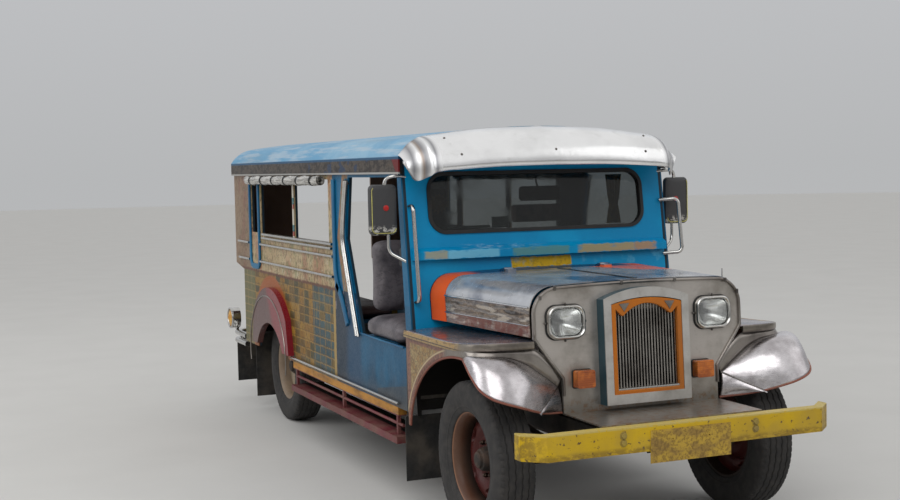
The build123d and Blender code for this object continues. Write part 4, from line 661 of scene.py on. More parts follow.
    # painted shade: the sides' inner faces in dark blue-grey, and their front ends below the fender line,
    # seen through the arch, near black
    inside = f.rise(f.beside, body_half - 0.006, body_half - 0.010)
    paint = f.painted(paint, (inside, f.mix(broad, (26, 42, 54), (40, 56, 66))),
                      (f.both(f.rise(f.y, -1.235, -1.245), f.rise(f.z, 0.98, 0.95)), painted_shade_black))
    return f.done(paint)


def rear_corner_paint():
    """Rear corners: brown-rose above the belt, ochre below it, with dark flecks and a brown seam."""
    f, base = worn_paint("rear_corner_paint", (108, 84, 72), (130, 104, 88), bare=(84, 62, 42))
    fine = f.cloud(0.022, 7, 0.7, (1, 1, 1.8), 4.0)
    base = f.painted(base, (f.rise(f.z, belt_z, belt_z - 0.004), (124, 104, 54)),
                     (f.rise(fine, 0.55, 0.62, 0, 0.7), (116, 92, 60)),
                     (f.within(f.z, belt_z - 0.014, belt_z + 0.008, 0.004), (96, 56, 40)))
    return f.done(base)


def skirt_finish():
    """Front fender skirts: reddish-brown border round a yellow and brown inset, dull steel ahead."""
    f, base = metal("skirt_finish", (150, 142, 134), (106, 98, 92), rough=0.34, low=0.45)
    along_y = f.maths("DIVIDE", f.maths("SUBTRACT", f.y, arch_centre_y), arch_half_length)
    along_z = f.maths("DIVIDE", f.maths("SUBTRACT", f.z, arch_centre_z), arch_half_height)
    from_arch = f.distance(along_y, along_z)
    speck = f.cloud(0.014, 6, 0.65)
    border = f.mix(f.rise(speck, 0.4, 0.6), (98, 62, 52), (132, 92, 72))
    inset = f.both(f.rise(from_arch, 1.085, 1.095), f.rise(f.y, nose_y + 0.358, nose_y + 0.352),
                   f.rise(f.z, 0.934, 0.928), f.rise(f.y, nose_y - 0.10, nose_y - 0.06))
    pattern = f.ramp(f.cloud(0.024, 5, 0.6, (1, 1, 1.5), 2.0), (0.4, (156, 122, 66)), (0.5, (92, 70, 42)),
                     (0.56, (172, 146, 96)), (0.66, (84, 84, 60)))
    painted_part = f.rise(f.y, nose_y - 0.16, nose_y - 0.08)
    line = f.both(f.within(from_arch, 1.068, 1.085, 0.004), painted_part)
    base = f.painted(base, (painted_part, border), (inset, pattern), (f.both(line, 0.7), (196, 180, 140)),
                     (f.rise(from_arch, 1.02, 1.008), (92, 48, 38)))
    metallic = f.rise(painted_part, 0.3, 0.7, 0.9, 0.0)
    return f.done(base, Metallic=metallic)


def hood_finish():
    """Hood: polished top, grey clouds, painted blue reflections, a wavy brown side, a dull red lower band."""
    f, base = metal("hood_finish", (198, 200, 204), (132, 138, 150), rough=0.22, grime=(84, 76, 66),
                    dirt=0.35, dents=0.45)
    wave = f.bars("Z", 9.0, Distortion=7.0, Detail=3.0, **{"Detail Scale": 1.4})
    waves = f.ramp(f.cloud(0.028, 4, 0.55, (1, 9, 1), 4.0), (0.34, (60, 50, 44)), (0.45, (150, 132, 116)),
                   (0.52, (96, 84, 78)), (0.60, (196, 184, 170)))
    side = f.rise(f.z, 1.176, 1.166)
    band = f.rise(f.z, 1.088, 1.082)
    orange = f.both(f.within(f.maths("MULTIPLY_ADD", f.y, 0.5, f.x), -0.54, -0.08, 0.03),
                    f.within(f.y, -1.80, -1.36, 0.04), f.rise(f.z, 1.22, 1.25), f.rise(f.z, 1.294, 1.290))
    # painted reflection: blue clouds on the top stand in for the blue cab mirrored in it
    painted_blue_reflection = f.both(f.rise(f.cloud(0.26, 3, 0.5, (1, 1.8, 1), 12.0), 0.52, 0.64, 0, 0.85),
                       f.rise(f.z, 1.22, 1.25))
    base = f.painted(base, (painted_blue_reflection, (40, 92, 132)), (f.both(orange, 0.9), (228, 104, 48)),
                     (f.both(side, f.rise(wave, 0.1, 0.9, 0.72, 0.95)), waves),
                     (f.both(band, f.rise(f.cloud(0.05, 6), 0.35, 0.6, 0.35, 0.9),
                             f.rise(f.y, -1.45, -1.85, 0.35, 1.0)), (112, 58, 50)))
    metallic = f.maths("SUBTRACT", f.rise(side, 0.2, 0.8, 0.62, 0.85), f.both(f.either(band, orange), 0.6))
    return f.done(base, Metallic=metallic)


def grille_frame_finish():
    """Grille surround: satin grey metal in front; teal on its sides, darkened there as painted shade."""
    f, base = metal("grille_frame_finish", (206, 204, 200), (168, 164, 158), rough=0.32, brush=(30, 1, 1),
                    dirt=0.25, dents=0.1)
    depth = f.behind(panel_lean, panel_mid_y, panel_mid_z)
    # its sides: teal paint, made dark as painted shade
    shaded_sides = f.rise(depth, -0.070, -0.066)
    base = f.painted(base, (shaded_sides, f.mix(f.cloud(0.05, 5), (10, 48, 60), (26, 70, 82))))
    return f.done(base, Metallic=f.rise(shaded_sides, 0, 1, 0.7, 0.0))


def bumper_paint():
    """Front bumper: chipped yellow with rubbed edges, and the blank plate, duller and speckled brown."""
    f, base = worn_paint("bumper_paint", (204, 168, 16), (180, 148, 40), bare=(92, 72, 44), wear=0.60,
                         gloss=0.36, dust=0.3)
    grime = f.both(f.either(f.rise(f.z, 0.560, 0.536), f.rise(f.beside, 0.72, 0.84)),
                   f.rise(f.cloud(0.03, 6, 0.7, (2, 1, 1)), 0.40, 0.56, 0, 0.7))
    base = f.mix(grime, base, (120, 96, 40))
    plate = f.both(f.rise(f.beside, 0.222, 0.221),
                   f.rise(f.y, bumper_front_y + 0.0026, bumper_front_y + 0.0022))
    speckle = f.rise(f.cloud(0.014, 8, 0.72, shift=2.0), 0.48, 0.57)
    smear = f.rise(f.cloud(0.06, 5, 0.6, (2, 1, 1), 9.0), 0.46, 0.62)
    upper_edge = f.both(f.rise(f.z, 0.634, 0.639), f.rise(f.cloud(0.02, 6, 0.7), 0.36, 0.46))
    plate_colour = f.painted((182, 150, 60), (smear, (146, 118, 60)), (f.both(speckle, 0.6), (104, 80, 44)))
    base = f.painted(base, (upper_edge, (188, 168, 96)), (plate, plate_colour))
    return f.done(base)


def panel_finish():
    """Front panel and its apron: bare, dulled sheet steel with a brown weld line low down."""
    f, base = metal("panel_finish", (196, 190, 184), (152, 146, 138), rough=0.32, brush=(30, 1, 1),
                    dirt=0.3, dents=0.12)
    low = f.rise(f.z, 0.74, 0.66, 0, 0.7)
    rim = f.both(f.rise(f.cloud(0.03, 6, 0.65, shift=3.0), 0.48, 0.62), low)
    base = f.painted(base, (low, (120, 116, 108)), (rim, (134, 104, 76)))
    return f.done(base, Metallic=0.72)


def sill_paint():
    """Side steps: ochre sill board above, rose-pink step below, with dusty rubbed faces."""
    f, base = worn_paint("sill_paint", (96, 26, 38), (122, 58, 64), bare=(84, 44, 44))
    sill = f.rise(f.z, step_top_z - 0.075, step_top_z - 0.070)
    gold = f.mix(f.rise(f.cloud(0.08, 6, 0.6, (1, 4, 1)), 0.4, 0.65), (188, 132, 50), (132, 92, 44))
    # painted shade: the step's inner part, towards the body, near black
    base = f.painted(base, (sill, gold), (f.rise(f.beside, 0.775, 0.770), painted_shade_black))
    return f.done(base)


def fender_rose():
    """Rear fenders: glossy brown-rose that turns to crimson round the front."""
    f, base = worn_paint("fender_rose", (78, 38, 38), (102, 62, 58), bare=(150, 104, 56), wear=0.66,
                         gloss=0.22, streak=0.3)
    crimson = f.rise(f.maths("MULTIPLY_ADD", f.z, -0.6, f.y), rear_axle_y - 0.53, rear_axle_y - 0.66)
    base = f.painted(base, (crimson, (122, 16, 32)))
    return f.done(base, Coat_Weight=0.25)


def tyre_rubber():
    """Tyre: grey-black rubber in dusty clouds, with fine pale specks."""
    f = Finish("tyre_rubber")
    dust = f.rise(f.cloud(0.05, 6, 0.6), 0.35, 0.75)
    fine = f.cloud(0.004, 4)
    base = f.painted(f.mix(dust, (40, 39, 39), (58, 55, 53)),
                     (f.rise(fine, 0.5, 0.8, 0, 0.25), (84, 80, 76)))
    return f.done(base, Roughness=0.82, Normal=f.relief(fine, 0.0006, 0.5))


def lamp_glass():
    """Headlamps: clear moulded glass with fine ribs."""
    f = Finish("lamp_glass")
    ribs = f.bars("X", 42.0)
    return f.done((250, 252, 252), Roughness=0.05, IOR=1.45, Transmission_Weight=0.9,
                  Normal=f.relief(ribs, 0.0012, 0.4))


def amber_plastic():
    """Turn lamps: ribbed orange plastic, deeper between its ribs."""
    f = Finish("amber_plastic")
    ribs = f.bars("Z", 30.0)
    base = f.mix(f.rise(f.cloud(0.05, 4), 0.35, 0.65), (196, 108, 30), (150, 72, 20))
    return f.done(base, Roughness=0.24, Coat_Weight=0.4, Normal=f.relief(ribs, 0.0014, 0.45))


def window_glass():
    """Windscreen: tinted glass with faint clouds of dust."""
    f = Finish("window_glass")
    dust = f.cloud(0.12, 6)
    return f.done(f.mix(dust, (104, 110, 112), (92, 98, 98)), Roughness=f.rise(dust, 0.4, 0.8, 0.02, 0.16),
                  IOR=1.45, Transmission_Weight=0.96)


def dark_part(name, light, dark, rough=0.7):
    """Chassis parts: black or rusty brown under road dust."""
    f = Finish(name)
    patches = f.rise(f.cloud(0.06, 7, 0.65), 0.4, 0.65)
    dust = f.both(f.rise(f.cloud(0.2, 5), 0.4, 0.7, 0, 0.6), 0.7)
    base = f.painted(f.mix(patches, dark, light), (dust, (104, 94, 82)))
    return f.done(base, Roughness=rough, Normal=f.relief(patches, 0.001, 0.4))


def mirror_case():
    """Mirror backs: charcoal plastic with a pale yellow outline and a scuff at the bottom."""
    f = Finish("mirror_case")
    grain = f.cloud(0.004, 4)
    scuff = f.both(f.rise(f.cloud(0.03, 6, 0.7, (1, 1, 0.6), 5.0), 0.5, 0.56),
                   f.rise(f.z, mirror_low_z + 0.06, mirror_low_z + 0.03))
    base = f.painted((58, 58, 60), (f.rise(grain, 0.4, 0.7, 0, 0.4), (80, 80, 80)),
                     (scuff, (190, 188, 182)))
    return f.done(base, Roughness=0.5, Normal=f.relief(grain, 0.0004, 0.4))


def plain_gloss(name, colour, other, rough=0.35, size=0.05):
    """A small part's paint or plastic with clouded colour and fine relief."""
    f = Finish(name)
    clouds = f.rise(f.cloud(size, 6, 0.6), 0.38, 0.66)
    return f.done(f.mix(clouds, colour, other), Roughness=f.rise(clouds, 0, 1, rough, rough + 0.18),
                  Normal=f.relief(f.cloud(size / 8, 4), 0.0004, 0.4))


# Camera, light and floor.

def camera():
    """The photograph's viewpoint, through a 54 mm lens: place, yaw from +y towards +x, pitch and roll."""
    yaw, pitch, roll = radians(22.73), radians(-3.485), radians(-1.194)
    ahead = Vector((sin(yaw) * cos(pitch), cos(yaw) * cos(pitch), sin(pitch)))
    level_right = Vector((cos(yaw), -sin(yaw), 0))
    level_up = level_right.cross(ahead)
    right = level_right * cos(roll) + level_up * sin(roll)
    up = level_up * cos(roll) - level_right * sin(roll)
    data = bpy.data.cameras.new("camera")
    data.lens, data.sensor_width = 54, 36
    data.clip_end = 200
    obj = bpy.data.objects.new("camera", data)
    place = Matrix.Translation((-3.4656, -8.1853, 1.8584))
    obj.matrix_world = place @ Matrix((right, up, -ahead)).transposed().to_4x4()
    bpy.context.scene.collection.objects.link(obj)
    bpy.context.scene.camera = obj


def daylight():
    """Overcast sky, paler behind the vehicle, and three very broad lamps that give soft shadows.

    Ahead and beside, a darker band reaches the height of street fronts, so that bare metal has something to
    show. The colour is a ramp of the direction's height, mixed between front and rear by its y.
    """
    world = bpy.context.scene.world or bpy.data.worlds.new("world")
    bpy.context.scene.world = world
    world.use_nodes = True
    tree = world.node_tree
    place = tree.nodes.new("ShaderNodeTexCoord")
    split = tree.nodes.new("ShaderNodeSeparateXYZ")
    tree.links.new(place.outputs["Generated"], split.inputs[0])
    skies = (
        # ahead: height of the direction, colour
        ((0.0, (0.27, 0.265, 0.26, 1)), (0.08, (0.31, 0.305, 0.30, 1)), (0.18, (0.50, 0.50, 0.50, 1)),
         (0.34, (0.64, 0.64, 0.65, 1)), (0.46, (1.0, 1.0, 1.0, 1))),
        # behind
        ((0.0, (0.60, 0.61, 0.62, 1)), (0.14, (0.66, 0.67, 0.69, 1)), (0.30, (0.80, 0.82, 0.85, 1)),
         (0.46, (0.92, 0.94, 0.97, 1)), (0.60, (1.0, 1.0, 1.0, 1))),
    )
    ramps = []
    for stops in skies:
        ramp = tree.nodes.new("ShaderNodeValToRGB")
        tree.links.new(split.outputs["Z"], ramp.inputs[0])
        while len(ramp.color_ramp.elements) < len(stops):
            ramp.color_ramp.elements.new(0.5)
        for element, (position, colour) in zip(ramp.color_ramp.elements, stops):
            element.position, element.color = position, colour
        ramps.append(ramp.outputs[0])
    rearward = tree.nodes.new("ShaderNodeMapRange")
    rearward.interpolation_type = "SMOOTHSTEP"
    for key, value in (("From Min", -0.05), ("From Max", 0.40)):
        rearward.inputs[key].default_value = value
    tree.links.new(split.outputs["Y"], rearward.inputs["Value"])
    blend = tree.nodes.new("ShaderNodeMix")
    blend.data_type = "RGBA"
    for socket, value in zip((blend.inputs[0], blend.inputs[6], blend.inputs[7]),
                             (rearward.outputs[0], *ramps)):
        tree.links.new(value, socket)
    background = tree.nodes["Background"]
    tree.links.new(blend.outputs[2], background.inputs["Color"])
    background.inputs["Strength"].default_value = 0.78
    lamps = (
        # name, place, aim, width, power
        ("key_lamp", (-6.0, -8.5, 9.0), (0, -0.5, 0.9), 10.0, 430),
        ("side_lamp", (-11.0, 2.5, 6.5), (0, 0.5, 1.0), 8.0, 260),
        ("far_lamp", (8.0, -6.0, 6.0), (0, -0.5, 1.0), 9.0, 80),
    )
    for name, place, aim, width, power in lamps:
        data = bpy.data.lights.new(name, "AREA")
        data.shape, data.size, data.energy = "DISK", width, power
        obj = bpy.data.objects.new(name, data)
        obj.location = place
        obj.rotation_euler = (Vector(aim) - Vector(place)).to_track_quat("-Z", "Y").to_euler()
        bpy.context.scene.collection.objects.link(obj)
    bpy.context.scene.view_settings.view_transform = "Standard"


def pale_floor():
    """A flat disc, faintly clouded, out to far behind the vehicle."""
    f = Finish("floor")
    finish = f.done(f.mix(f.cloud(0.7, 5), (196, 195, 192), (206, 205, 202)), Roughness=0.9)
    ring = circle(70.0, 96)
    rings = np.stack([np.concatenate([ring * share, np.zeros((96, 1))], axis=1)
                      for share in (0.0, 0.1, 1.0)])
    corners, quads = surface(rings, close_columns=True)
    mesh = bpy.data.meshes.new("floor_disc")
    mesh.from_pydata(corners.tolist(), [], quads[:, ::-1].tolist())
    mesh.materials.append(finish)
    obj = bpy.data.objects.new("floor_disc", mesh)
    bpy.context.scene.collection.objects.link(obj)


# Finishes that several pieces share.

chrome = chrome_finish()
polished = simple_metal("polished_steel", (222, 222, 222), (176, 178, 182), rough=0.12, brush=(30, 1, 1),
                        dirt=0.25)
dull_steel = simple_metal("dull_steel", (158, 152, 146), (112, 106, 102), rough=0.32, brush=(30, 30, 1),
                          dirt=0.5)
flare_steel = simple_metal("flare_steel", (214, 210, 212), (160, 154, 156), rough=0.27, brush=(30, 30, 1),
                           dirt=0.4, dents=0.6)
bead_steel = simple_metal("bead_steel", (120, 116, 112), (78, 74, 72), rough=0.3, brush=(10, 10, 10),
                          dirt=0.4)
rusty_edge = simple_paint("rusty_edge", (120, 66, 54), (150, 96, 78), bare=(70, 40, 30))
trim_orange = simple_paint("trim_orange", (184, 104, 24), (160, 98, 44), bare=(92, 58, 34), dust=0.2)
body_blue = simple_paint("body_blue", (10, 84, 124), (36, 112, 150), bare=(120, 140, 150))
rubber = plain_gloss("rubber", (22, 22, 23), (44, 43, 42), rough=0.6)
black_part = plain_gloss("black_part", (20, 20, 21), (40, 39, 38), rough=0.5)
chassis_black = dark_part("chassis_black", (44, 40, 37), (22, 21, 20))
rusty_cast = dark_part("rusty_cast", (74, 56, 44), (34, 30, 27))


def finish_nodes():
    """Gives every CAD node that stays in view its own finish."""
    given = {
        "cab_front": cab_blue(), "cowl": cowl_paint(), "roof": roof_paint(), "front_panel": panel_finish(),
        "grille_surround": grille_frame_finish(), "hood": hood_finish(), "front_bumper": bumper_paint(),
        "side_steps": sill_paint(), "rear_fenders": fender_rose(), "rear_corners": rear_corner_paint(),
        "grille_bars": simple_metal("grille_bar_metal", (176, 172, 166), (120, 114, 108), rough=0.25),
        "headlamp_rings": chrome, "turn_lamps": amber_plastic(), "windscreen_gasket": rubber,
        "windscreen_glass": window_glass(), "dashboard": black_part, "grab_rails": chrome,
        "steering_wheel": plain_gloss("wheel_plastic", (26, 24, 24), (48, 46, 44), rough=0.35),
        "front_seat_base": body_blue,
        "bench_bases": simple_paint("bench_blue", (30, 74, 100), (60, 96, 116)),
        "floor": dark_part("floor_sheet", (74, 70, 66), (44, 42, 40)),
        "mud_flaps": dark_part("flap_rubber", (38, 37, 36), (22, 22, 22), rough=0.8),
        "rear_bumper": chrome, "rear_lamps": chrome, "fender_lamp": chrome,
        "fuel_tank": chassis_black, "radiator": black_part, "steering_column": chassis_black,
    }
    side = side_paint()
    given.update({f"side_body_{side_name}": side for side_name in ("left", "right")})
    given.update({name: chassis_black for name in ("frame_rails", "cross_members")})
    given.update({name: rusty_cast for name in (
        "front_axle", "rear_axle", "leaf_springs", "engine_block", "driveline", "exhaust",
        "knuckle_left", "knuckle_right", "tie_rod")})
    for name, finish in given.items():
        mesh = nodes[name].data
        mesh.materials.clear()
        mesh.materials.append(finish)


def rear_lamps():
    """Round rear lamps that face sideways: a chrome rim turned about the lamp's axis, and a domed amber
    lens whose height falls with the square of the radius, stepped by fine rings."""
    high = box_of("rear_lamps")[1]
    radius, lens_radius = 0.084, 0.070
    centre = (0, high[1] - radius, high[2] - radius)
    reach = np.linspace(lens_radius, 0.0, 40)
    swell = 0.022 * (1 - (reach / lens_radius) ** 2) + 0.0006 * np.sin(reach * 900)
    dome = np.stack([high[0] + 0.004 + swell, reach], axis=1)
    rim = np.array([(0.000, 0.083), (0.006, 0.087), (0.014, 0.086), (0.018, 0.080), (0.016, 0.073),
                    (0.008, 0.070), (0.003, 0.070)]) + (high[0] - 0.001, 0)
    piece("rear_lamp_rims", [turned(rim, 64, centre, side) for side in sides], chrome)
    piece("rear_lamp_lenses", [turned(dome, 64, centre, side) for side in sides],
          plain_gloss("lens_amber", (214, 166, 70), (190, 128, 40), rough=0.15, size=0.03))


# Wheels.

def wheel_finishes(end):
    """Paints of one axle's wheels: (barrel, disc). The front barrels have painted shade inwards and a pale
    lip.
    """
    if end == "front":
        f, base = worn_paint("rim_brown", (84, 54, 40), (112, 76, 58), bare=(54, 32, 24), dust=0.2)
        middle_x = middle("tyre_front_left")[0]
        # painted shade: near black deeper inside the barrel; then the pale lip at its outer edge
        base = f.painted(base, (f.rise(f.beside, middle_x + 0.056, middle_x - 0.01, 0, 0.85), painted_shade_black),
                         (f.rise(f.beside, middle_x + 0.070, middle_x + 0.075, 0, 0.7), (146, 104, 78)))
        return (f.done(base),
                simple_paint("disc_red", (70, 18, 16), (44, 24, 22), bare=(26, 18, 16), dust=0.05))
    return (simple_paint("rim_cream", (150, 132, 112), (120, 100, 84), bare=(74, 48, 36), dust=0.4),
            simple_paint("disc_cream", (160, 146, 124), (128, 112, 96), bare=(80, 54, 40), dust=0.4))


def tyre_parts(centre, side):
    """Tyre: a rounded section turned about the axle; its tread is pressed in along four zigzag grooves and,
    at the shoulders, along short slots across it; its walls carry plain raised rings."""
    radius, half, inner = tyre_radius, tyre_half_width, rim_radius
    tread_edge = half * 0.78
    section = np.array([
        (-half * 0.70, inner), (-half * 0.80, inner + 0.004), (-half * 0.86, inner + 0.018),
        (-half * 0.95, inner + 0.045), (-half, inner + 0.075), (-half * 0.985, inner + 0.105),
        (-half * 0.93, radius - 0.022), (-half * 0.86, radius - 0.010), (-tread_edge, radius - 0.004),
    ])
    wall = smooth_path(section, 6)
    tread_x = np.linspace(-tread_edge, tread_edge, 121)[1:-1]
    tread = np.stack([tread_x, radius - 0.004 * (tread_x / tread_edge)**2], axis=1)
    profile = np.concatenate([wall, tread, (wall * (-1, 1))[::-1]])
    x, reach = profile[:, :1], profile[:, 1:]
    turn = full_turn(300)
    zigzag = 0.0035 * (2 / pi) * np.arcsin(np.sin(turn * 50))
    grooves = np.array([-0.6, -0.2, 0.2, 0.6]) * half * 0.86
    nearest = np.abs((x + zigzag)[..., None] - grooves).min(axis=-1)
    out = np.abs(x)
    depth = 0.0065 * np.clip(1.5 - nearest / 0.0028, 0, 1) * (out < half * 0.74)
    shoulder = (out > half * 0.74) & (out < half * 0.95) & (reach > radius - 0.030)
    slots = 0.004 * (np.sin(turn * 75) > 0.55) * shoulder
    rings = 0.0022 * ((np.abs(reach - inner - 0.030) < 0.003) | (np.abs(reach - inner - 0.092) < 0.002))
    return [spun(x + np.sign(x) * rings * (out > half * 0.8), reach - depth - slots, turn, centre, side)]


def rim_parts(centre, side, disc_reach):
    """Wheel barrel: a turned profile. Disc: a turned profile whose face is pressed in by smooth oval hand
    holes, with a hub nose and a ring of nuts. disc_reach is how far out the disc stands."""
    inner = rim_radius
    barrel = np.array([(-0.075, 0.006), (-0.070, -0.004), (-0.050, -0.016), (0.040, -0.018),
                       (0.058, -0.010), (0.066, -0.002), (0.073, 0.010), (0.077, 0.010), (0.078, 0.004),
                       (0.070, -0.008), (0.060, -0.018), (0.036, -0.026), (-0.050, -0.026),
                       (-0.075, -0.012), (-0.075, 0.006)]) + (0, inner)
    disc = [(0.004, inner - 0.020), (0.012, inner - 0.030), (0.022, inner - 0.045), (0.030, inner - 0.070),
            (0.028, inner - 0.095), (0.016, inner - 0.115), (0.010, inner - 0.130), (0.010, 0.066),
            (0.012, 0.056)]
    x, reach = np.split(smooth_path(disc, 8), 2, axis=1)
    turn = full_turn(160)
    hole = ((reach - (inner - 0.072)) / 0.020)**2 + ((np.mod(turn * 5 / pi, 2) - 1) / 0.42)**2
    face = spun(x + disc_reach - 0.022 * np.clip((1.25 - hole) / 0.4, 0, 1), reach, turn, centre, side)
    hub = np.array([(-0.02, 0.066), (0.018, 0.064), (0.040, 0.060), (0.056, 0.052), (0.060, 0.044),
                    (0.072, 0.040), (0.077, 0.030), (0.079, 0.016), (0.079, 0.0)]) + (disc_reach, 0)
    outward = np.array([side, 0, 0])
    nut_turn = np.arange(8) * pi / 4 + 0.2
    nuts = xyz((disc_reach + 0.010) * side, 0.088 * np.cos(nut_turn), 0.088 * np.sin(nut_turn)) + centre
    return ([turned(barrel, 120, centre, side)], [face], [turned(hub, 64, centre, side)],
            hexagon_bolts(nuts, outward, 0.013, 0.018)
            + domes(nuts + 0.018 * outward, outward, 0.009, 0.008))


def wheels():
    """Tyre, rim and nuts of each of the four wheels, from the places of their nodes."""
    rubber_finish = tyre_rubber()
    nut_finish = simple_metal("nut_steel", (84, 70, 62), (56, 44, 38), rough=0.4, dirt=0.5)
    for end in ("front", "rear"):
        barrel_paint, disc_paint = wheel_finishes(end)
        for side, name in named_sides:
            place = f"{end}_{name}"
            centre = middle(f"tyre_{place}")
            body = f"wheel_{place}"
            tyre = piece(f"tyre_{place}_dressed", tyre_parts(centre, side), rubber_finish, body)
            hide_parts(f"tyre_{place}")
            barrel, disc, hub, nuts = rim_parts(centre, side, -0.030 if end == "front" else -0.022)
            rim = piece(f"rim_{place}_barrel", barrel, barrel_paint, body)
            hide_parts(f"rim_{place}")
            piece(f"rim_{place}_disc", disc, disc_paint, body)
            piece(f"rim_{place}_hub", hub, rusty_cast, body)
            piece(f"rim_{place}_nuts", nuts, nut_finish, body, crease_deg=25)


# Front fenders.

def front_fenders():
    """Top plates with rolled edges, skirts with the wheel arch, polished flares, beads and inner aprons.

    Skirt: straight lines from the arch's ellipse to the plate's edge. Flare: straight lines from the bead
    line to the lip line, pushed forward and up by a half wave. Plate: straight lines from its outline to
    the apron.
    """
    forward = (0, nose_y, 0)
    skirt_x, skirt_top_z = 0.899, 0.975
    share = np.linspace(0, 1, 60)
    turn = np.radians(5 + 87 * share)
    arch = xyz(skirt_x, arch_centre_y + arch_half_length * np.cos(turn),
               arch_centre_z + arch_half_height * np.sin(turn))
    bend = (0, 0.40, 1)
    edge = xyz(skirt_x, np.interp(share, bend, (0.400, 0.420, -0.365)) + nose_y,
               np.interp(share, bend, (0.478, skirt_top_z, skirt_top_z)))

    bead_line = smooth_path([
        (0.901, -0.360, 0.932), (0.895, -0.420, 0.940), (0.865, -0.460, 0.943), (0.800, -0.492, 0.942),
        (0.720, -0.508, 0.932), (0.650, -0.517, 0.905), (0.600, -0.520, 0.873), (0.530, -0.520, 0.823),
        (0.472, -0.520, 0.781)]) + forward
    lip_line = smooth_path([
        (0.905, -0.362, 0.926), (0.932, -0.450, 0.918), (0.942, -0.540, 0.872), (0.935, -0.625, 0.818),
        (0.902, -0.690, 0.783), (0.850, -0.726, 0.762), (0.780, -0.735, 0.740), (0.710, -0.702, 0.715),
        (0.640, -0.660, 0.692)]) + forward
    push = np.array([0.30, -0.62, 0.72])
    push *= 0.070 / np.linalg.norm(push)
    width = np.sin(pi * np.linspace(0, 1, len(bead_line)))[None, :, None] ** 0.8
    flare = ruled(bead_line, lip_line, 25, lambda down: push * np.sin(pi * down ** 0.85) * width)
    lower_lip = smooth_path([(0.640, -0.660, 0.692), (0.560, -0.590, 0.670),
                             (0.456, -0.530, 0.655)]) + forward
    lower_bead = np.linspace((0.640, -0.660, 0.692), (0.472, -0.520, 0.781), len(lower_lip)) + forward
    facet = ruled(lower_bead, lower_lip, 8, lambda down: np.array([0, -0.012, -0.006]) * np.sin(pi * down))
    inner_edge = smooth_path([
        (0.900, -0.330, 0.972), (0.893, -0.385, 0.972), (0.865, -0.440, 0.972), (0.800, -0.482, 0.972),
        (0.720, -0.503, 0.972), (0.650, -0.513, 0.972), (0.588, -0.520, 0.968), (0.510, -0.520, 0.900),
        (0.452, -0.520, 0.812)]) + forward

    outline = smooth_path([
        (0.600, -0.520, 0), (0.700, -0.516, 0), (0.800, -0.490, 0), (0.870, -0.420, 0), (0.900, -0.300, 0),
        (0.904, -0.100, 0), (0.904, 0.160, 0), (0.902, 0.420, 0)]) + forward
    outline[:, 2] = 0.988 + 0.022 * np.clip((nose_y - outline[:, 1]) / 0.5, 0, 1) ** 2
    apron_x = 0.562
    inside = xyz(apron_x, np.linspace(-0.500, 0.505, len(outline)) + nose_y, outline[:, 2] - 0.002)
    roll = np.array([(0, 0), (-0.006, 0.003), (-0.011, 0), (-0.013, -0.008), (-0.013, -0.026),
                     (-0.010, -0.032), (-0.004, -0.034), (0, -0.032)])
    side_way = np.cross(np.gradient(outline, axis=0), (0, 0, 1))
    side_way /= np.linalg.norm(side_way, axis=1, keepdims=True)
    rolled = outline[:, None] - side_way[:, None] * roll[:, :1] + np.array([0, 0, 1.0]) * roll[:, 1:]
    apron = surface(xyz(apron_x, (np.linspace(-0.497, 0.500, 12) + nose_y)[:, None],
                        np.linspace(0.812, 0.986, 4)))

    sheets = (
        # name, surfaces, finish, wall
        ("skirts", [ruled(arch, edge, 8)], skirt_finish(), 0.004),
        ("flares", [flare, facet], flare_steel, 0.003),
        ("plates", [ruled(outline, inside, 12)], plate_steel(), 0.004),
        ("necks", [ruled(inner_edge, bead_line, 4), apron], dull_steel, 0.004),
        ("plate_edges", [surface(rolled, close_columns=True)], plate_edge_finish(), None),
    )
    for name, surfaces, finish, wall in sheets:
        sheet = piece(f"front_fender_{name}", mirrored(surfaces), finish, wall=wall)
        if name == "skirts":
            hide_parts("front_fenders")
    piece("front_fender_beads", mirrored([
        tube(bead_line, 0.0045, 8), tube(lower_bead, 0.005, 8), tube(inner_edge, 0.0035, 8)]), bead_steel)
    piece("front_fender_lips", mirrored([
        tube(np.concatenate([lip_line, lower_lip[1:]]), 0.0055, 8, flat=(0, 0, 1)),
        tube(arch + (0.002, 0, 0), 0.006, 8)]), rusty_edge)


def plate_steel():
    """Fender tops: dull sheet with reddish and blue-grey clouds, painted reflections of paint nearby."""
    f, base = metal("plate_steel", (176, 170, 174), (126, 126, 140), rough=0.22, brush=(30, 1, 1),
                    grime=(92, 78, 70), dirt=0.5, dents=0.35)
    # painted reflection: reddish clouds
    painted_warm_reflection = f.rise(f.cloud(0.11, 5, 0.6, (1, 1.6, 1), 3.0), 0.52, 0.66, 0, 0.5)
    return f.done(f.mix(painted_warm_reflection, base, (140, 84, 78)), Metallic=0.85)


def plate_edge_finish():
    """Rolled edge of the fender tops: steel in front, ochre with dark marks along the side."""
    f, base = metal("plate_edge_finish", (150, 142, 132), (104, 98, 92), rough=0.3, dirt=0.4)
    side_part = f.rise(f.y, nose_y - 0.36, nose_y - 0.26)
    marks = f.ramp(f.cloud(0.020, 5, 0.6, (1, 2.0, 1), 5.0), (0.38, (112, 86, 56)), (0.5, (176, 146, 84)),
                   (0.6, (150, 112, 70)), (0.7, (196, 176, 120)))
    line = f.within(f.z, 0.966, 0.971, 0.002)
    base = f.painted(base, (f.both(side_part, 0.9), marks), (f.both(line, side_part), (44, 34, 28)))
    return f.done(base, Metallic=f.rise(side_part, 0.2, 0.8, 0.9, 0.1))


# Visor.

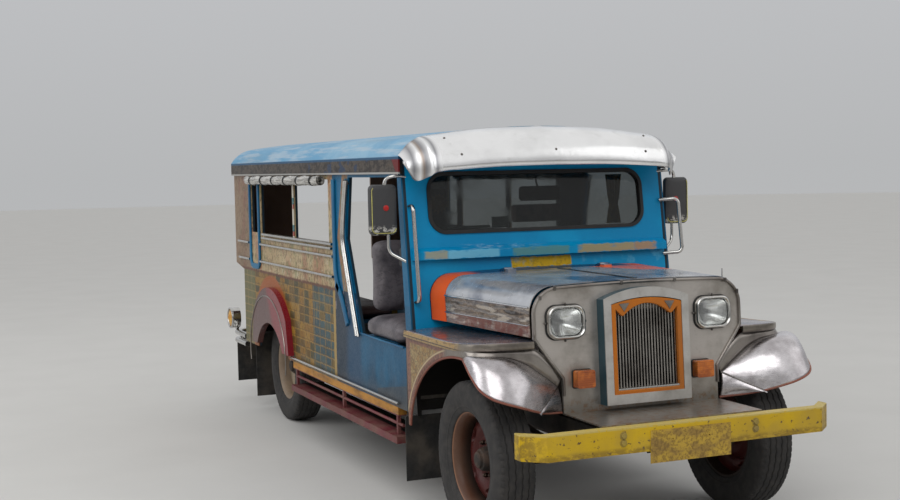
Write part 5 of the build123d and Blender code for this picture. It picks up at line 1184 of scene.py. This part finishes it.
def visor():
    """Polished visor: at each x an arc through three points, on the roof's edge, on its middle line and on
    its lip, each of those lines curved across the vehicle; its edge is rolled under, and its end sheets lap
    over the middle one at the seams. The studs sit on the sheet's points nearest to their places."""
    eave_z = 1.925
    rear_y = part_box("roof")[0][1] - nose_y - 0.001
    across_stops = (
        # x, roof z, middle y, middle z, lip y, lip z
        (0.000, eave_z + 0.162, 0.420, eave_z + 0.093, 0.350, eave_z - 0.053),
        (0.360, eave_z + 0.150, 0.420, eave_z + 0.084, 0.350, eave_z - 0.058),
        (shoulder_x, eave_z + 0.112, 0.420, eave_z + 0.053, 0.352, eave_z - 0.078),
        (roof_half - 0.104, eave_z + 0.096, 0.434, eave_z + 0.026, 0.394, eave_z - 0.104),
        (roof_half - 0.054, eave_z + 0.066, 0.475, eave_z - 0.014, 0.462, eave_z - 0.126),
        (roof_half - 0.024, eave_z + 0.034, 0.513, eave_z - 0.010, 0.483, eave_z - 0.078),
        (roof_half + 0.002, eave_z + 0.006, 0.545, eave_z - 0.008, 0.500, eave_z - 0.030),
    )
    curve = smooth_path(across_stops)
    lines = np.concatenate([curve[::-1], curve[1:]])
    x = np.concatenate([-curve[::-1, 0], curve[1:, 0]])
    roof_line = xyz(x, rear_y, lines[:, 1])
    middle_line = xyz(x, lines[:, 2], lines[:, 3])
    lip_line = xyz(x, lines[:, 4], lines[:, 5])
    t = np.linspace(0, 1, 18)[:, None, None]
    arc = roof_line * 2 * (t - 0.5) * (t - 1) - middle_line * 4 * t * (t - 1) + lip_line * 2 * t * (t - 0.5)
    lapped = 0.0016 * (np.abs(x) > shoulder_x - 0.055)[None, :, None]
    arc = arc + np.array([0.0, -1.0, 0.35]) * lapped
    under = lip_line + np.array([[0, 0.004, -0.006], [0, 0.014, -0.007], [0, 0.018, -0.001],
                                 [0, 0.016, 0.006]])[:, None]
    sheet = piece("visor_dressed", [surface(np.concatenate([arc, under]) + (0, nose_y, 0))], visor_steel(),
                  crease_deg=50, wall=0.0022)
    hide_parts("visor")
    places = np.array([(-0.56, 0.385, 1.918), (0, 0.385, 1.934), (0.56, 0.385, 1.926), (0.63, 0.470, 2.022),
                       (-0.63, 0.470, 2.022)])
    points = arc.reshape(-1, 3)
    nearest = ((points - places[:, None]) ** 2).sum(axis=-1).argmin(axis=1)
    piece("visor_studs", domes(points[nearest] + (0, nose_y, 0), (0, -0.9, 0.4), 0.008, 0.006), bead_steel)


def visor_steel():
    """Visor: mirror-bright sheet with faint smudges, grey-brown bands of painted reflection near its ends."""
    f, base = metal("visor_steel", (246, 246, 246), (232, 232, 232), rough=0.15, brush=(30, 1, 1),
                    grime=(150, 144, 134), dirt=0.2, dents=0.12)
    steel, shade, brown = (240, 240, 240), (112, 112, 118), (128, 104, 84)
    # painted reflection: grey and brown bands across the ends
    bands = f.ramp(f.rise(f.beside, shoulder_x, roof_half), (0.0, steel), (0.08, shade), (0.20, steel),
                   (0.42, shade), (0.52, brown), (0.64, steel), (0.84, shade), (1.0, steel))
    ends = f.rise(f.beside, shoulder_x - 0.002, shoulder_x + 0.002, 0.0, 0.8)
    rougher_ends = f.maths("MULTIPLY_ADD", ends, 0.22, f.wear["Roughness"])
    return f.done(f.mix(ends, base, bands), Roughness=rougher_ends, Metallic=0.92)


# Nose.

def panel_rim(inset=0.0):
    """The front panel's edge from foot to foot: diagonals, sides, corner arcs, a slightly crowned top."""
    half, corner, top_z = 0.594 - inset, 0.130, 1.268 - inset
    turn = np.linspace(0, pi / 2, 14)
    arc_x, arc_z = half - corner + corner * np.cos(turn), top_z - corner + corner * np.sin(turn)
    crown_x = np.linspace(half - corner, 0, 10)[1:]
    crown_z = top_z + 0.009 * (1 - (crown_x / (half - corner)) ** 2)
    x = np.concatenate([[0.447 - inset, 0.447 - inset, 0.500 - inset, 0.560 - inset, half, half], arc_x,
                        crown_x])
    z = np.concatenate([[0.735, 0.822, 0.893, 0.973, 1.022, 1.080], arc_z, crown_z])
    x, z = np.concatenate([x, -x[-2::-1]]), np.concatenate([z, z[-2::-1]])
    return xyz(x, panel_y(z), z)


def panel_trim():
    """Dark tube bead round the front panel, with small clips along it."""
    rim = panel_rim(0.004) + (0, -0.006, 0)
    piece("front_panel_bead", [tube(rim, 0.0075, 10)], dull_steel)
    clips = rim[[10, 16, 24, 30, 38, 44]] + (0, -0.005, 0)
    piece("front_panel_clips",
          [raised(rounded_rectangle(0.016, 0.022, 0.004, 3), ((0, 0), (0.004, 0), (0.006, 0.003)), clip)
           for clip in clips],
          bead_steel)


def grille_trim():
    """Orange frame inside the grille's surround: a flat ring from the surround's opening to an outline whose
    top is an arch that drops to a point near each corner. Small grey facets fill the corners."""
    depth = -0.066
    share = np.linspace(-1, 1, 41)
    drop = 0.78
    arch = 1.170 - 0.060 * (np.abs(share) / drop) ** 2
    rise_back = 1.110 + 0.036 * (np.abs(share) - drop) / (1 - drop)
    outer = (0.2005, 0.7255, 1.1975 - 0.027 * share ** 2)
    inner = (0.175, 0.747, np.where(np.abs(share) < drop, arch, rise_back))
    inner_half, inner_low = inner[:2]

    def ring(edge, grow, lift):
        """Left side up, top from left to right, right side down, bottom back; as points on the panel."""
        half, low, top = edge[0] + grow, edge[1] - grow, edge[2] + grow
        x = np.concatenate([[-half] * 8, share * half, [half] * 8, np.linspace(half, -half, 12)[1:-1]])
        z = np.concatenate([np.linspace(low, top[0], 8, endpoint=False), top,
                            np.linspace(top[-1], low, 9)[1:], np.full(10, low)])
        return xyz(x, panel_y(z) + depth - lift, z)

    rows = [ring(outer, 0, -0.006), ring(outer, 0, 0.005), ring(outer, -0.003, 0.008),
            ring(inner, 0.003, 0.008), ring(inner, 0, 0.005), ring(inner, 0, -0.014)]
    piece("grille_trim", [surface(rows, close_columns=True)], trim_orange)
    facets = []
    for s in sides:
        points = np.array([(s * 0.158, 1.174), (s * 0.100, 1.177), (s * 0.130, 1.134), (s * 0.158, 1.174)])
        grown = np.stack([points, points * 0.97 + points[:3].mean(axis=0) * 0.03])
        flat = xyz(grown[..., 0], panel_y(grown[..., 1]) + depth - np.array([[0.007], [0.011]]),
                   grown[..., 1])
        facets.append(surface(np.concatenate([flat, np.broadcast_to(flat[1, :3].mean(axis=0), (1, 4, 3))])))
    piece("grille_corner_facets", facets, dull_steel)
    bar_y, bar_z = panel_y(inner_low) + depth + 0.002, inner_low + 0.004
    low_bar = np.linspace((-inner_half, bar_y, bar_z), (inner_half, bar_y, bar_z), 6)
    piece("grille_sill", [along(low_bar, rounded_rectangle(0.012, 0.010, 0.003, 3), flat=(0, 0, 1))],
          chrome)


def headlamps():
    """Chrome rings, reflector bowls, bulbs and bulged, ribbed lenses on rounded rectangles.

    Ring: the outline drawn in step by step while its height follows a rounded profile. Bowl: sinks behind
    the panel by a squared radius. Lens: rises by a cosine from its rim.
    """
    right, up = np.array([1.0, 0, 0]), np.array([0, panel_lean, 1.0])
    up /= np.linalg.norm(up)
    ahead = np.cross(right, up)
    outer, inner = rounded_rectangle(0.206, 0.166, 0.052, 10), rounded_rectangle(0.172, 0.132, 0.044, 10)
    share = np.linspace(1, 0, 16)[:, None, None]
    ring_rows = ((0.0, -0.001), (0.0, 0.020), (0.08, 0.027), (0.25, 0.032), (0.5, 0.034), (0.75, 0.031),
                 (0.92, 0.025), (1.0, 0.017), (1.0, 0.006))
    gasket_rows = (
        (outer, ((1.0, 0.0), (1.05, 0.0), (1.055, 0.004), (1.03, 0.007), (1.0, 0.007))),
        (inner, ((1.0, 0.012), (1.0, 0.018), (0.975, 0.019), (0.965, 0.014))),
    )
    screw_places = np.array([(-0.111, -0.008, 0), (0.111, -0.008, 0), (0, -0.008, 0.091),
                             (0, -0.008, -0.091)])
    rings, lenses, bowls, bulbs, gaskets, screws = [], [], [], [], [], []
    for s in sides:
        centre = np.array([s * 0.422, panel_y(1.095), 1.095])

        def placed(outline, height):
            """Outline points on the panel's plane, moved ahead by a height."""
            return centre + outline[..., :1] * right + outline[..., 1:] * up + ahead * height

        rings.append(surface([placed(outer * (1 - t) + inner * t, h) for t, h in ring_rows],
                             close_columns=True))
        gaskets += [surface([placed(outline * k, h) for k, h in rows], close_columns=True)
                    for outline, rows in gasket_rows]
        flat = inner * share * 0.985
        lenses.append(surface(placed(flat, 0.014 + 0.022 * np.cos(share * pi / 2)), close_columns=True))
        bowls.append(surface(placed(flat, 0.010 - 0.070 * (1 - share ** 2)), close_columns=True))
        bulbs.append(raised(circle(0.015, 20), ((0, 0), (0.022, 0.001), (0.032, 0.005), (0.034, 0.012)),
                            centre - ahead * 0.058, right, up))
        screws += domes(centre + screw_places, (0, -1, 0), 0.006, 0.006)
    ring = piece("headlamp_rings_dressed", rings, chrome, crease_deg=50)
    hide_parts("headlamp_rings")
    lens = piece("headlamp_lenses_dressed", lenses, lamp_glass(), outward=False, wall=-0.003)
    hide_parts("headlamp_lenses")
    piece("headlamp_bowls", bowls,
          simple_metal("reflector", (248, 248, 246), (230, 230, 228), rough=0.14, dirt=0.05, dents=0.05))
    piece("headlamp_bulbs", bulbs,
          simple_metal("bulb_cap", (60, 60, 62), (96, 96, 98), rough=0.2, dirt=0.1))
    piece("headlamp_gaskets", gaskets, rubber)
    piece("headlamp_screws", screws, bead_steel)


def turn_lamp_bases():
    """Dark gaskets round the turn lamps and a thin amber rim round the face of each."""
    out_x, mid_z = 0.342, 0.813
    gaskets = [raised(rounded_rectangle(0.106, 0.094, 0.012, 4), ((0.0, 0), (0.006, 0), (0.008, 0.002)),
                      (s * out_x, panel_y(mid_z), mid_z)) for s in sides]
    piece("turn_lamp_gaskets", gaskets, black_part)
    x, z = rounded_rectangle(0.090, 0.078, 0.010, 4).T
    rims = [tube(xyz(x + s * out_x, box_of("turn_lamps")[0][1] + 0.0045, z + mid_z), 0.002, 6,
                 flat=(0, 1, 0), close_path=True) for s in sides]
    piece("turn_lamp_rims", rims, amber_plastic())


def hood_details():
    """Hood: piano hinge along its middle; a bright bead at the top of its sides, a thinner one below."""
    y = np.linspace(panel_y(1.28) + 0.024, box_of("cowl")[0][1] + 0.012, 24)
    half = np.linspace(0.604, 0.690, 24) + 0.0005
    beads = [tube(xyz(half, y, z), radius, 8, flat=(0, 0, 1))
             for z, radius in ((1.172, 0.0055), (1.083, 0.003))]
    hinge = [(-0.011, -0.002), (0.011, -0.002), (0.009, 0.002), (0.004, 0.0028), (0, 0.0062),
             (-0.004, 0.0028), (-0.009, 0.002)]
    piece("hood_hinge_strip", [along(xyz(0, y, 1.2865), hinge, flat=(1, 0, 0))], bead_steel, "hood")
    piece("hood_side_beads", mirrored(beads), polished, "hood")


# Side trim.

def side_rails():
    """Chrome rails along the windows and the upper side, on short feet; the step's bright bead."""
    out = body_half + 0.013
    rails, feet = [], []
    for front_y, rear_y, z in ((0.020, 1.720, 1.388), (0.030, 1.720, 1.360), (0.005, 1.785, 1.310),
                               (0.012, 1.795, 1.180), (2.130, 2.460, 1.311), (2.120, 2.440, 1.182)):
        rails.append(level_tube((out, front_y, z), (out, rear_y, z), 10, 0.009, 12))
        for y in np.linspace(front_y + 0.03, rear_y - 0.03, max(2, int((rear_y - front_y) / 0.4))):
            feet.append(level_tube((body_half - 0.001, y, z), (out, y, z), 3, 0.006, 8))
    piece("window_rails", mirrored(rails + feet), chrome)
    low, high = box_of("side_steps")
    bead_x, bead_z = 0.848, high[2] + 0.002
    bead = level_tube((bead_x, low[1] + 0.01, bead_z), (bead_x, high[1] - 0.01, bead_z), 12, 0.009, 10)
    piece("sill_beads", mirrored([bead]), chrome)


def level_tube(start, end, stops, radius, steps):
    """A straight round bar between two points."""
    return tube(np.linspace(start, end, stops), radius, steps, flat=(0, 0, 1))


def flat_bar(route, width, proud, radius):
    """A flat bar laid on the side: a low rounded section along a route given as (y, z)."""
    route = np.array([(body_half + proud / 2, y, z) for y, z in route])
    path = rounded_path(route, radius)
    section = rounded_rectangle(proud, width, proud * 0.4, 3)
    return along(path, section, flat=(1, 0, 0))


def side_ribs():
    """Blue ribs that frame the windows: a U at the rear, a band from the roof to the belt at the front that
    turns forward below it, and one along the doorway. Double chrome rails follow the doorway's edge, a bar
    cover stands in the window, and a bead runs round the rear fender's arch, part of an ellipse."""
    ribs = [
        flat_bar(((2.095, 1.80), (2.095, 1.135), (1.835, 1.135), (1.835, 1.80)), 0.042, 0.014, 0.07),
        flat_bar(((-0.020, 1.80), (-0.020, 1.165), (-0.130, 1.075), (-0.245, 0.900)), 0.050, 0.014, 0.10),
        flat_bar(((-0.285, 1.80), (-0.205, 1.43), (-0.355, 1.100), (-0.455, 0.860)), 0.045, 0.012, 0.14),
    ]
    piece("window_ribs", mirrored(ribs), body_blue)
    door_edge = smooth_path([(0, -0.318, 1.795), (0, -0.262, 1.600), (0, -0.238, 1.440), (0, -0.285, 1.300),
                             (0, -0.360, 1.120), (0, -0.430, 0.960), (0, -0.478, 0.850)])
    rails = [tube(door_edge + (body_half + 0.018, shift, 0), 0.010, 12) for shift in (0.0, 0.034)]
    feet = [level_tube((body_half - 0.001, y + shift, z), (body_half + 0.018, y + shift, z), 3, 0.007, 8)
            for y, z in ((-0.312, 1.775), (-0.238, 1.44), (-0.467, 0.870)) for shift in (0.0, 0.034)]
    piece("doorway_rails", mirrored(rails + feet), chrome)
    bar = flat_bar(((0.904, 1.800), (0.904, 1.395)), 0.034, 0.006, 0.01)
    piece("window_bar_covers", mirrored([bar]), window_bar_finish())
    sill = flat_bar(((-0.500, 0.872), (-0.900, 0.868), (-1.215, 0.868)), 0.012, 0.010, 0.05)
    piece("doorway_sill_edges", mirrored([sill]), body_blue)
    arch_turn = np.radians(np.linspace(-12, 192, 60))
    rim = xyz(box_of("rear_fenders")[1][0] + 0.001, rear_axle_y + 0.489 * np.cos(arch_turn),
              0.500 + 0.437 * np.sin(arch_turn))
    piece("rear_fender_rims", mirrored([tube(rim, 0.005, 8)]), dull_steel)


def window_bar_finish():
    """Window bars: cream, with worn red and teal lengths."""
    f, base = worn_paint("window_bar_paint", (196, 190, 176), (210, 206, 196), wear=0.66)
    lengths = f.ramp(f.maths("FRACT", f.both(f.z, 5.3)), (0.0, (196, 190, 176)), (0.45, (150, 48, 36)),
                     (0.62, (40, 104, 112)), (0.86, (196, 190, 176)), steps=True)
    return f.done(f.mix(f.rise(f.cloud(0.02, 6), 0.3, 0.5), base, lengths))


def bumper_details():
    """End plates that close the bumper's channel, and bolt pairs into its irons."""
    face_y = bumper_front_y + 0.003
    caps = raised(rounded_rectangle(0.062, 0.121, 0.004, 3), ((0, 0), (0.003, 0), (0.004, 0.002)),
                  (0.849, face_y + 0.116, 0.5825), (0, 1, 0), (0, 0, 1), back=-0.002)
    piece("bumper_end_caps", mirrored([caps]), nodes["front_bumper"].data.materials[0])
    bolts = [(x, face_y, z) for x in (-0.365, 0.365) for z in (0.608, 0.574)]
    piece("bumper_bolts", hexagon_bolts(bolts, (0, -1, 0), 0.014, 0.010)
          + [raised(circle(0.019, 16), ((0, 0), (0.003, 0.001)), bolt) for bolt in bolts],
          simple_paint("bolt_yellow", (170, 146, 52), (130, 112, 60), bare=(84, 62, 40)))


# Mirrors, curtains and cab interior.

def side_mirrors():
    """Mirror heads: rounded cases whose back bulges, a yellow bead round the back, a round reflector, a
    glass on the rear face; bent chrome stays above and below carry them from the cab's corners."""
    centre = np.array([box_of("side_mirrors")[1][0] - 0.080, cab_y(1.635) + 0.014, mirror_low_z + 0.139])
    outline = rounded_rectangle(0.160, 0.278, 0.028, 7)
    bulge = ((0.0, 0.004), (0.004, 0.0), (0.020, 0.0), (0.030, 0.004), (0.036, 0.014), (0.038, 0.030))
    case = raised(outline, bulge, centre + (0, 0.038, 0), back=0.0)
    ring = xyz(outline[:, 0] * 0.86, -0.0010, outline[:, 1] * 0.92) + centre
    bead = tube(np.concatenate([ring[14:], ring[:4]])[::-1], 0.0022, 8, flat=(0, 1, 0))
    reflector = raised(circle(0.016, 24), ((0, 0), (0.003, 0.0), (0.005, 0.003)),
                       centre + (-0.012, 0.0, 0.010))
    glass = raised(outline * 0.92, ((0, 0), (0.002, 0.0), (0.003, 0.002)), centre + (0, 0.037, 0),
                   (-1, 0, 0))
    corner_y = cab_y(1.80) + 0.012
    stay_x, stay_y = centre[0] - 0.012, centre[1] + 0.019
    bend = 0.035
    stays = [
        tube(rounded_path([(body_half - 0.030, corner_y, 1.812),
                           (body_half + 0.040, corner_y - 0.035, 1.822), (stay_x, stay_y, 1.805),
                           (stay_x, stay_y, 1.740)], bend), 0.010, 12),
        tube(rounded_path([(stay_x - 0.018, stay_y, 1.510), (stay_x - 0.018, stay_y, 1.400),
                           (body_half - 0.012, cab_y(1.36) + 0.010, 1.345)], bend), 0.009, 12)]
    cases = piece("side_mirrors_dressed", mirrored([case]), mirror_case())
    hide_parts("side_mirrors")
    piece("side_mirror_beads", mirrored([bead]),
          plain_gloss("bead_yellow", (206, 200, 110), (176, 168, 96), rough=0.4))
    piece("side_mirror_reflectors", mirrored([reflector]),
          plain_gloss("reflector_red", (196, 28, 22), (160, 20, 18), rough=0.2))
    piece("side_mirror_glass", mirrored([glass]),
          simple_metal("mirror_glass", (220, 224, 226), (200, 206, 210), rough=0.04, dirt=0.1, dents=0.0))
    piece("side_mirror_stays", mirrored(stays), chrome)


def rolled_curtains():
    """Window curtains rolled up: a sheet wound into a spiral whose radius grows evenly with its turns,
    slightly sagging and creased along its length, tied with straps."""
    low, high = box_of("rolled_curtains")
    radius = (high[2] - low[2]) / 2
    centre_x, centre_z = high[0] - radius, (low[2] + high[2]) / 2
    turns = 3.2
    turn = np.linspace(0, turns * 2 * pi, 130)[:, None]
    share = turn / turn.max()
    run = np.linspace(low[1] + 0.004, high[1] - 0.004, 160)[None, :]
    straps_y = np.linspace(low[1] + 0.16, high[1] - 0.16, 6)
    pinch = np.exp(-((run[..., None] - straps_y) / 0.022) ** 2).sum(axis=-1)
    reach = (0.010 + (radius - 0.012) * share) * (1 - 0.10 * pinch)
    ripple = 0.0012 * np.sin(run * 37 + 3 * np.sin(turn)) * share + 0.0008 * np.sin(run * 91 + 5 * share)
    reach = reach + ripple
    sag = -0.004 * np.sin(pi * np.mod((run - low[1]) / 0.31, 1.0)) ** 2
    roll = surface(xyz(centre_x + reach * np.cos(turn), run, centre_z + sag + reach * np.sin(turn)))
    ring = circle(radius * 0.94, 40)
    straps = [along(xyz(centre_x + ring[:, 0], y, centre_z + ring[:, 1]),
                    rounded_rectangle(0.026, 0.0026, 0.001, 3), flat=(0, 1, 0), close_path=True)
              for y in straps_y]
    for side, name in named_sides:
        sheet = piece(f"rolled_curtain_{name}", on_side([roll], side), clear_vinyl(),
                      wall=0.0010)
        strap = piece(f"curtain_straps_{name}", on_side(straps, side), rubber)
        if side == 1:
            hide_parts("rolled_curtains")


def clear_vinyl():
    """Clear plastic sheet gone milky: silvery grey, soft gloss, creased along the roll."""
    f = Finish("clear_vinyl")
    streak = f.cloud(0.014, 5, 0.6, (1, 14, 1))
    base = f.mix(f.rise(streak, 0.35, 0.65), (118, 114, 108), (196, 194, 188))
    return f.done(base, Roughness=f.rise(streak, 0.3, 0.7, 0.18, 0.36), Coat_Weight=0.3,
                  Normal=f.relief(streak, 0.0012, 0.5))


def cab_interior():
    """Behind the windscreen: inside mirror on its stalk, a box below it, an ochre curtain at the driver's
    side whose waves grow towards its foot, blank papers and a strip on the glass, a rosette whose edge is a
    wave of the turn; gauges without markings and a gear lever."""
    mirror_x, mirror_y = 0.06, cab_y(1.72) + 0.11
    mirror = raised(rounded_rectangle(0.26, 0.085, 0.02, 5),
                    ((0, 0.003), (0.006, 0), (0.016, 0), (0.022, 0.006)), (mirror_x, mirror_y, 1.700))
    stalk = tube(smooth_path([(mirror_x, cab_y(1.82) + 0.035, 1.835), (mirror_x, mirror_y + 0.03, 1.79),
                              (mirror_x, mirror_y, 1.72)]), 0.006, 8)
    piece("inside_mirror", [mirror, stalk], black_part)
    sign_box = raised(rounded_rectangle(0.30, 0.10, 0.012, 4),
                      ((0, 0.002), (0.01, 0), (0.05, 0), (0.056, 0.004)),
                      (mirror_x, mirror_y + 0.06, 1.585), back=0.0)
    piece("cab_sign_box", [sign_box], plain_gloss("sign_box", (196, 158, 150), (140, 120, 118), rough=0.5))

    across = np.linspace(0, 1, 60)[:, None]
    down = np.linspace(0, 1, 40)
    gathered = 0.4 + 0.6 * np.abs(down - 0.62) ** 0.7
    waves = 0.012 * np.sin(across * 2 * pi * 5) * (0.5 + 0.5 * down)
    drape = surface(xyz(0.545 + (across - 0.5) * 0.13 * gathered, cab_y(1.80) + 0.075 + waves,
                        1.800 - 0.290 * down))
    curtain = piece("cab_curtain", [drape],
                    plain_gloss("curtain_gold", (236, 200, 84), (190, 150, 50), rough=0.7, size=0.02),
                    wall=0.001)

    papers = [raised(rounded_rectangle(width, height, 0.003, 3), ((0, 0), (0.0008, 0.0004)), centre,
                     up=(0, cab_lean, 1))
              for width, height, centre in (
                  (0.105, 0.062, (-0.235, cab_y(1.56) + 0.034, 1.545)),
                  (0.26, 0.014, (-0.43, cab_y(1.525) + 0.036, 1.524)),
                  (0.085, 0.050, (-0.60, cab_y(1.76) + 0.036, 1.765)))]
    piece("windscreen_papers", papers, plain_gloss("paper", (240, 238, 232), (214, 220, 212), rough=0.8))
    turn = full_turn(72)
    reach = np.linspace(0.004, 1, 12)[:, None] * (0.050 + 0.010 * np.sin(turn * 14))
    petals = xyz(-0.60 + reach * np.cos(turn), cab_y(1.66) + 0.040 + 0.008 * np.sin(reach * 260),
                 1.66 + reach * np.sin(turn))
    piece("cab_rosette", [surface(petals, close_columns=True)],
          plain_gloss("rosette_gold", (226, 170, 96), (240, 210, 160), rough=0.5, size=0.01), wall=0.001)
    gauges = [raised(circle(radius, 28), ((0, 0), (0.008, 0), (0.010, 0.003)),
                     (x, cab_y(1.36) + 0.165, 1.395), (-1, 0, 0))
              for x, radius in ((0.40, 0.045), (0.29, 0.028), (0.51, 0.028))]
    piece("dash_gauges", gauges, plain_gloss("gauge_face", (30, 30, 32), (70, 70, 72), rough=0.2))
    lever = tube(smooth_path([(0.03, -0.93, 0.625), (0.03, -0.95, 0.80), (0.04, -0.90, 0.99)]), 0.009, 10)
    piece("gear_lever", [lever] + domes((0.04, -0.90, 0.985), (0, 0.1, 1), 0.022, 0.026), black_part)


# Seats.

def pad_grid(size, centre, crown, pull, channels=(), channel_axis=1):
    """A cushion as a closed surface: a box with rounded edges, each side drawn in between its corners, its
    top crowned by a cosine, with sewn channels pressed in across one axis.

    The box comes from a sphere's grid (u round, v from foot to top) whose cosines are taken to a low power.
    """
    u = full_turn(140)
    v = np.linspace(-pi / 2, pi / 2, 60)[:, None]

    def power(value, exponent):
        """The power of a value's size, with its sign kept."""
        return np.sign(value) * np.abs(value) ** exponent

    level = power(np.cos(v), 0.28)
    x, y, z = level * power(np.cos(u), 0.25), level * power(np.sin(u), 0.25), power(np.sin(v), 0.55)
    drawn_x = pull * np.cos(y * pi / 2) * np.abs(x) ** 6
    drawn_y = pull * np.cos(x * pi / 2) * np.abs(y) ** 6
    x, y = x * (1 - drawn_x), y * (1 - drawn_y)
    top = np.clip(z, 0, 1) * crown * np.cos(x * pi / 2) * np.cos(y * pi / 2)
    for place in channels:
        top = top - 0.10 * np.exp(-(((x, y)[channel_axis] - place) / 0.02) ** 2) * np.clip(z * 1.4, 0, 1)
    return xyz(x, y, z + top) * (np.array(size) / 2) + centre


def coordinates(mesh):
    """A mesh's points as an array."""
    flat = np.empty(len(mesh.vertices) * 3)
    mesh.vertices.foreach_get("co", flat)
    return flat.reshape(-1, 3)


def settle(obj):
    """Keeps the shape that an object's modifiers give it and takes them off."""
    mesh = bpy.data.meshes.new_from_object(obj.evaluated_get(bpy.context.evaluated_depsgraph_get()))
    obj.modifiers.clear()
    obj.data = mesh


def cushion(name, grid, finish, voxel=0.009, cap=0.010):
    """A stuffed pad: the closed grid, remeshed and blown up as cloth; no point moves further than cap."""
    obj = piece(name, [surface(grid, close_columns=True)], finish, merge=1e-4)
    bpy.context.view_layer.objects.active = obj
    remesh = obj.modifiers.new("even", "REMESH")
    remesh.mode, remesh.voxel_size = "VOXEL", voxel
    settle(obj)
    start = coordinates(obj.data)
    cloth = obj.modifiers.new("stuffing", "CLOTH")
    cloth.settings.use_pressure = True
    cloth.settings.uniform_pressure_force = 3.5
    cloth.settings.effector_weights.gravity = 0
    cloth.settings.quality = 5
    cloth.settings.tension_stiffness = 12
    cloth.settings.bending_stiffness = 0.4
    steps = 16
    cloth.point_cache.frame_end = steps
    for step in range(1, steps + 1):
        bpy.context.scene.frame_set(step)
    settle(obj)
    bpy.context.scene.frame_set(1)
    move = coordinates(obj.data) - start
    length = np.linalg.norm(move, axis=1, keepdims=True)
    end = start + move * np.minimum(1, cap / np.maximum(length, 1e-9))
    obj.data.vertices.foreach_set("co", end.ravel())
    obj.data.materials.clear()
    obj.data.materials.append(finish)
    obj.data.shade_smooth()
    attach(obj, chassis)
    return obj


def seats():
    """Cushions and backs of the front seats and the benches, each a little smaller than its node."""
    silver = vinyl("silver_vinyl", (104, 98, 102), (62, 58, 64), crease=0.05)
    dark = vinyl("dark_vinyl", (72, 52, 50), (46, 34, 34), crease=0.04)
    front_cushions = (
        # name, low corner, high corner
        ("passenger_cushion", (-0.858, -1.178, 0.8725), (-0.064, -0.560, 0.982)),
        ("driver_cushion", (0.064, -0.878, 0.8725), (0.803, -0.404, 0.982)),
    )
    front_backs = (
        # name, centre's x, front y, rear y
        ("passenger_back", -0.434, -0.645, -0.556),
        ("driver_back", 0.434, -0.490, -0.401),
    )
    for name, low, high in front_cushions:
        low, high = np.array(low), np.array(high)
        cushion(name, pad_grid(high - low, (low + high) / 2, 0.35, 0.03), silver)
    for name, centre_x, front_y, rear_y in front_backs:
        x, z, y = np.moveaxis(pad_grid((0.742, 0.450, rear_y - front_y), (0, 0, 0), 0.25, 0.03,
                                       (-0.5, 0.0, 0.5), 0), -1, 0)
        cushion(name, xyz(x + centre_x, (rear_y + front_y) / 2 - y, z + 1.222), silver)
    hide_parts("front_seats")
    low, high = box_of("bench_pads")
    centre_y, bench_length = (low[1] + high[1]) / 2, high[1] - low[1] - 0.02
    channels = np.linspace(-0.8, 0.8, 5)
    for side, side_name in named_sides:
        grid = pad_grid((0.360, bench_length, 0.080), (side * 0.6235, centre_y, 0.9475), 0.4, 0.01,
                        channels)
        pad = cushion(f"bench_cushion_{side_name}", grid, dark, voxel=0.014, cap=0.006)
        if side == 1:
            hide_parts("bench_pads")
        z, y, x = np.moveaxis(pad_grid((0.285, bench_length, 0.055), (0, 0, 0), 0.3, 0.01, channels), -1, 0)
        cushion(f"bench_back_{side_name}", xyz(side * (0.777 - x), y + centre_y, z + 1.2275), dark,
                voxel=0.014, cap=0.005)


finish_nodes()
rear_lamps()
wheels()
front_fenders()
visor()
panel_trim()
grille_trim()
headlamps()
turn_lamp_bases()
hood_details()
side_rails()
side_ribs()
bumper_details()
side_mirrors()
rolled_curtains()
cab_interior()
seats()
camera()
daylight()
pale_floor()
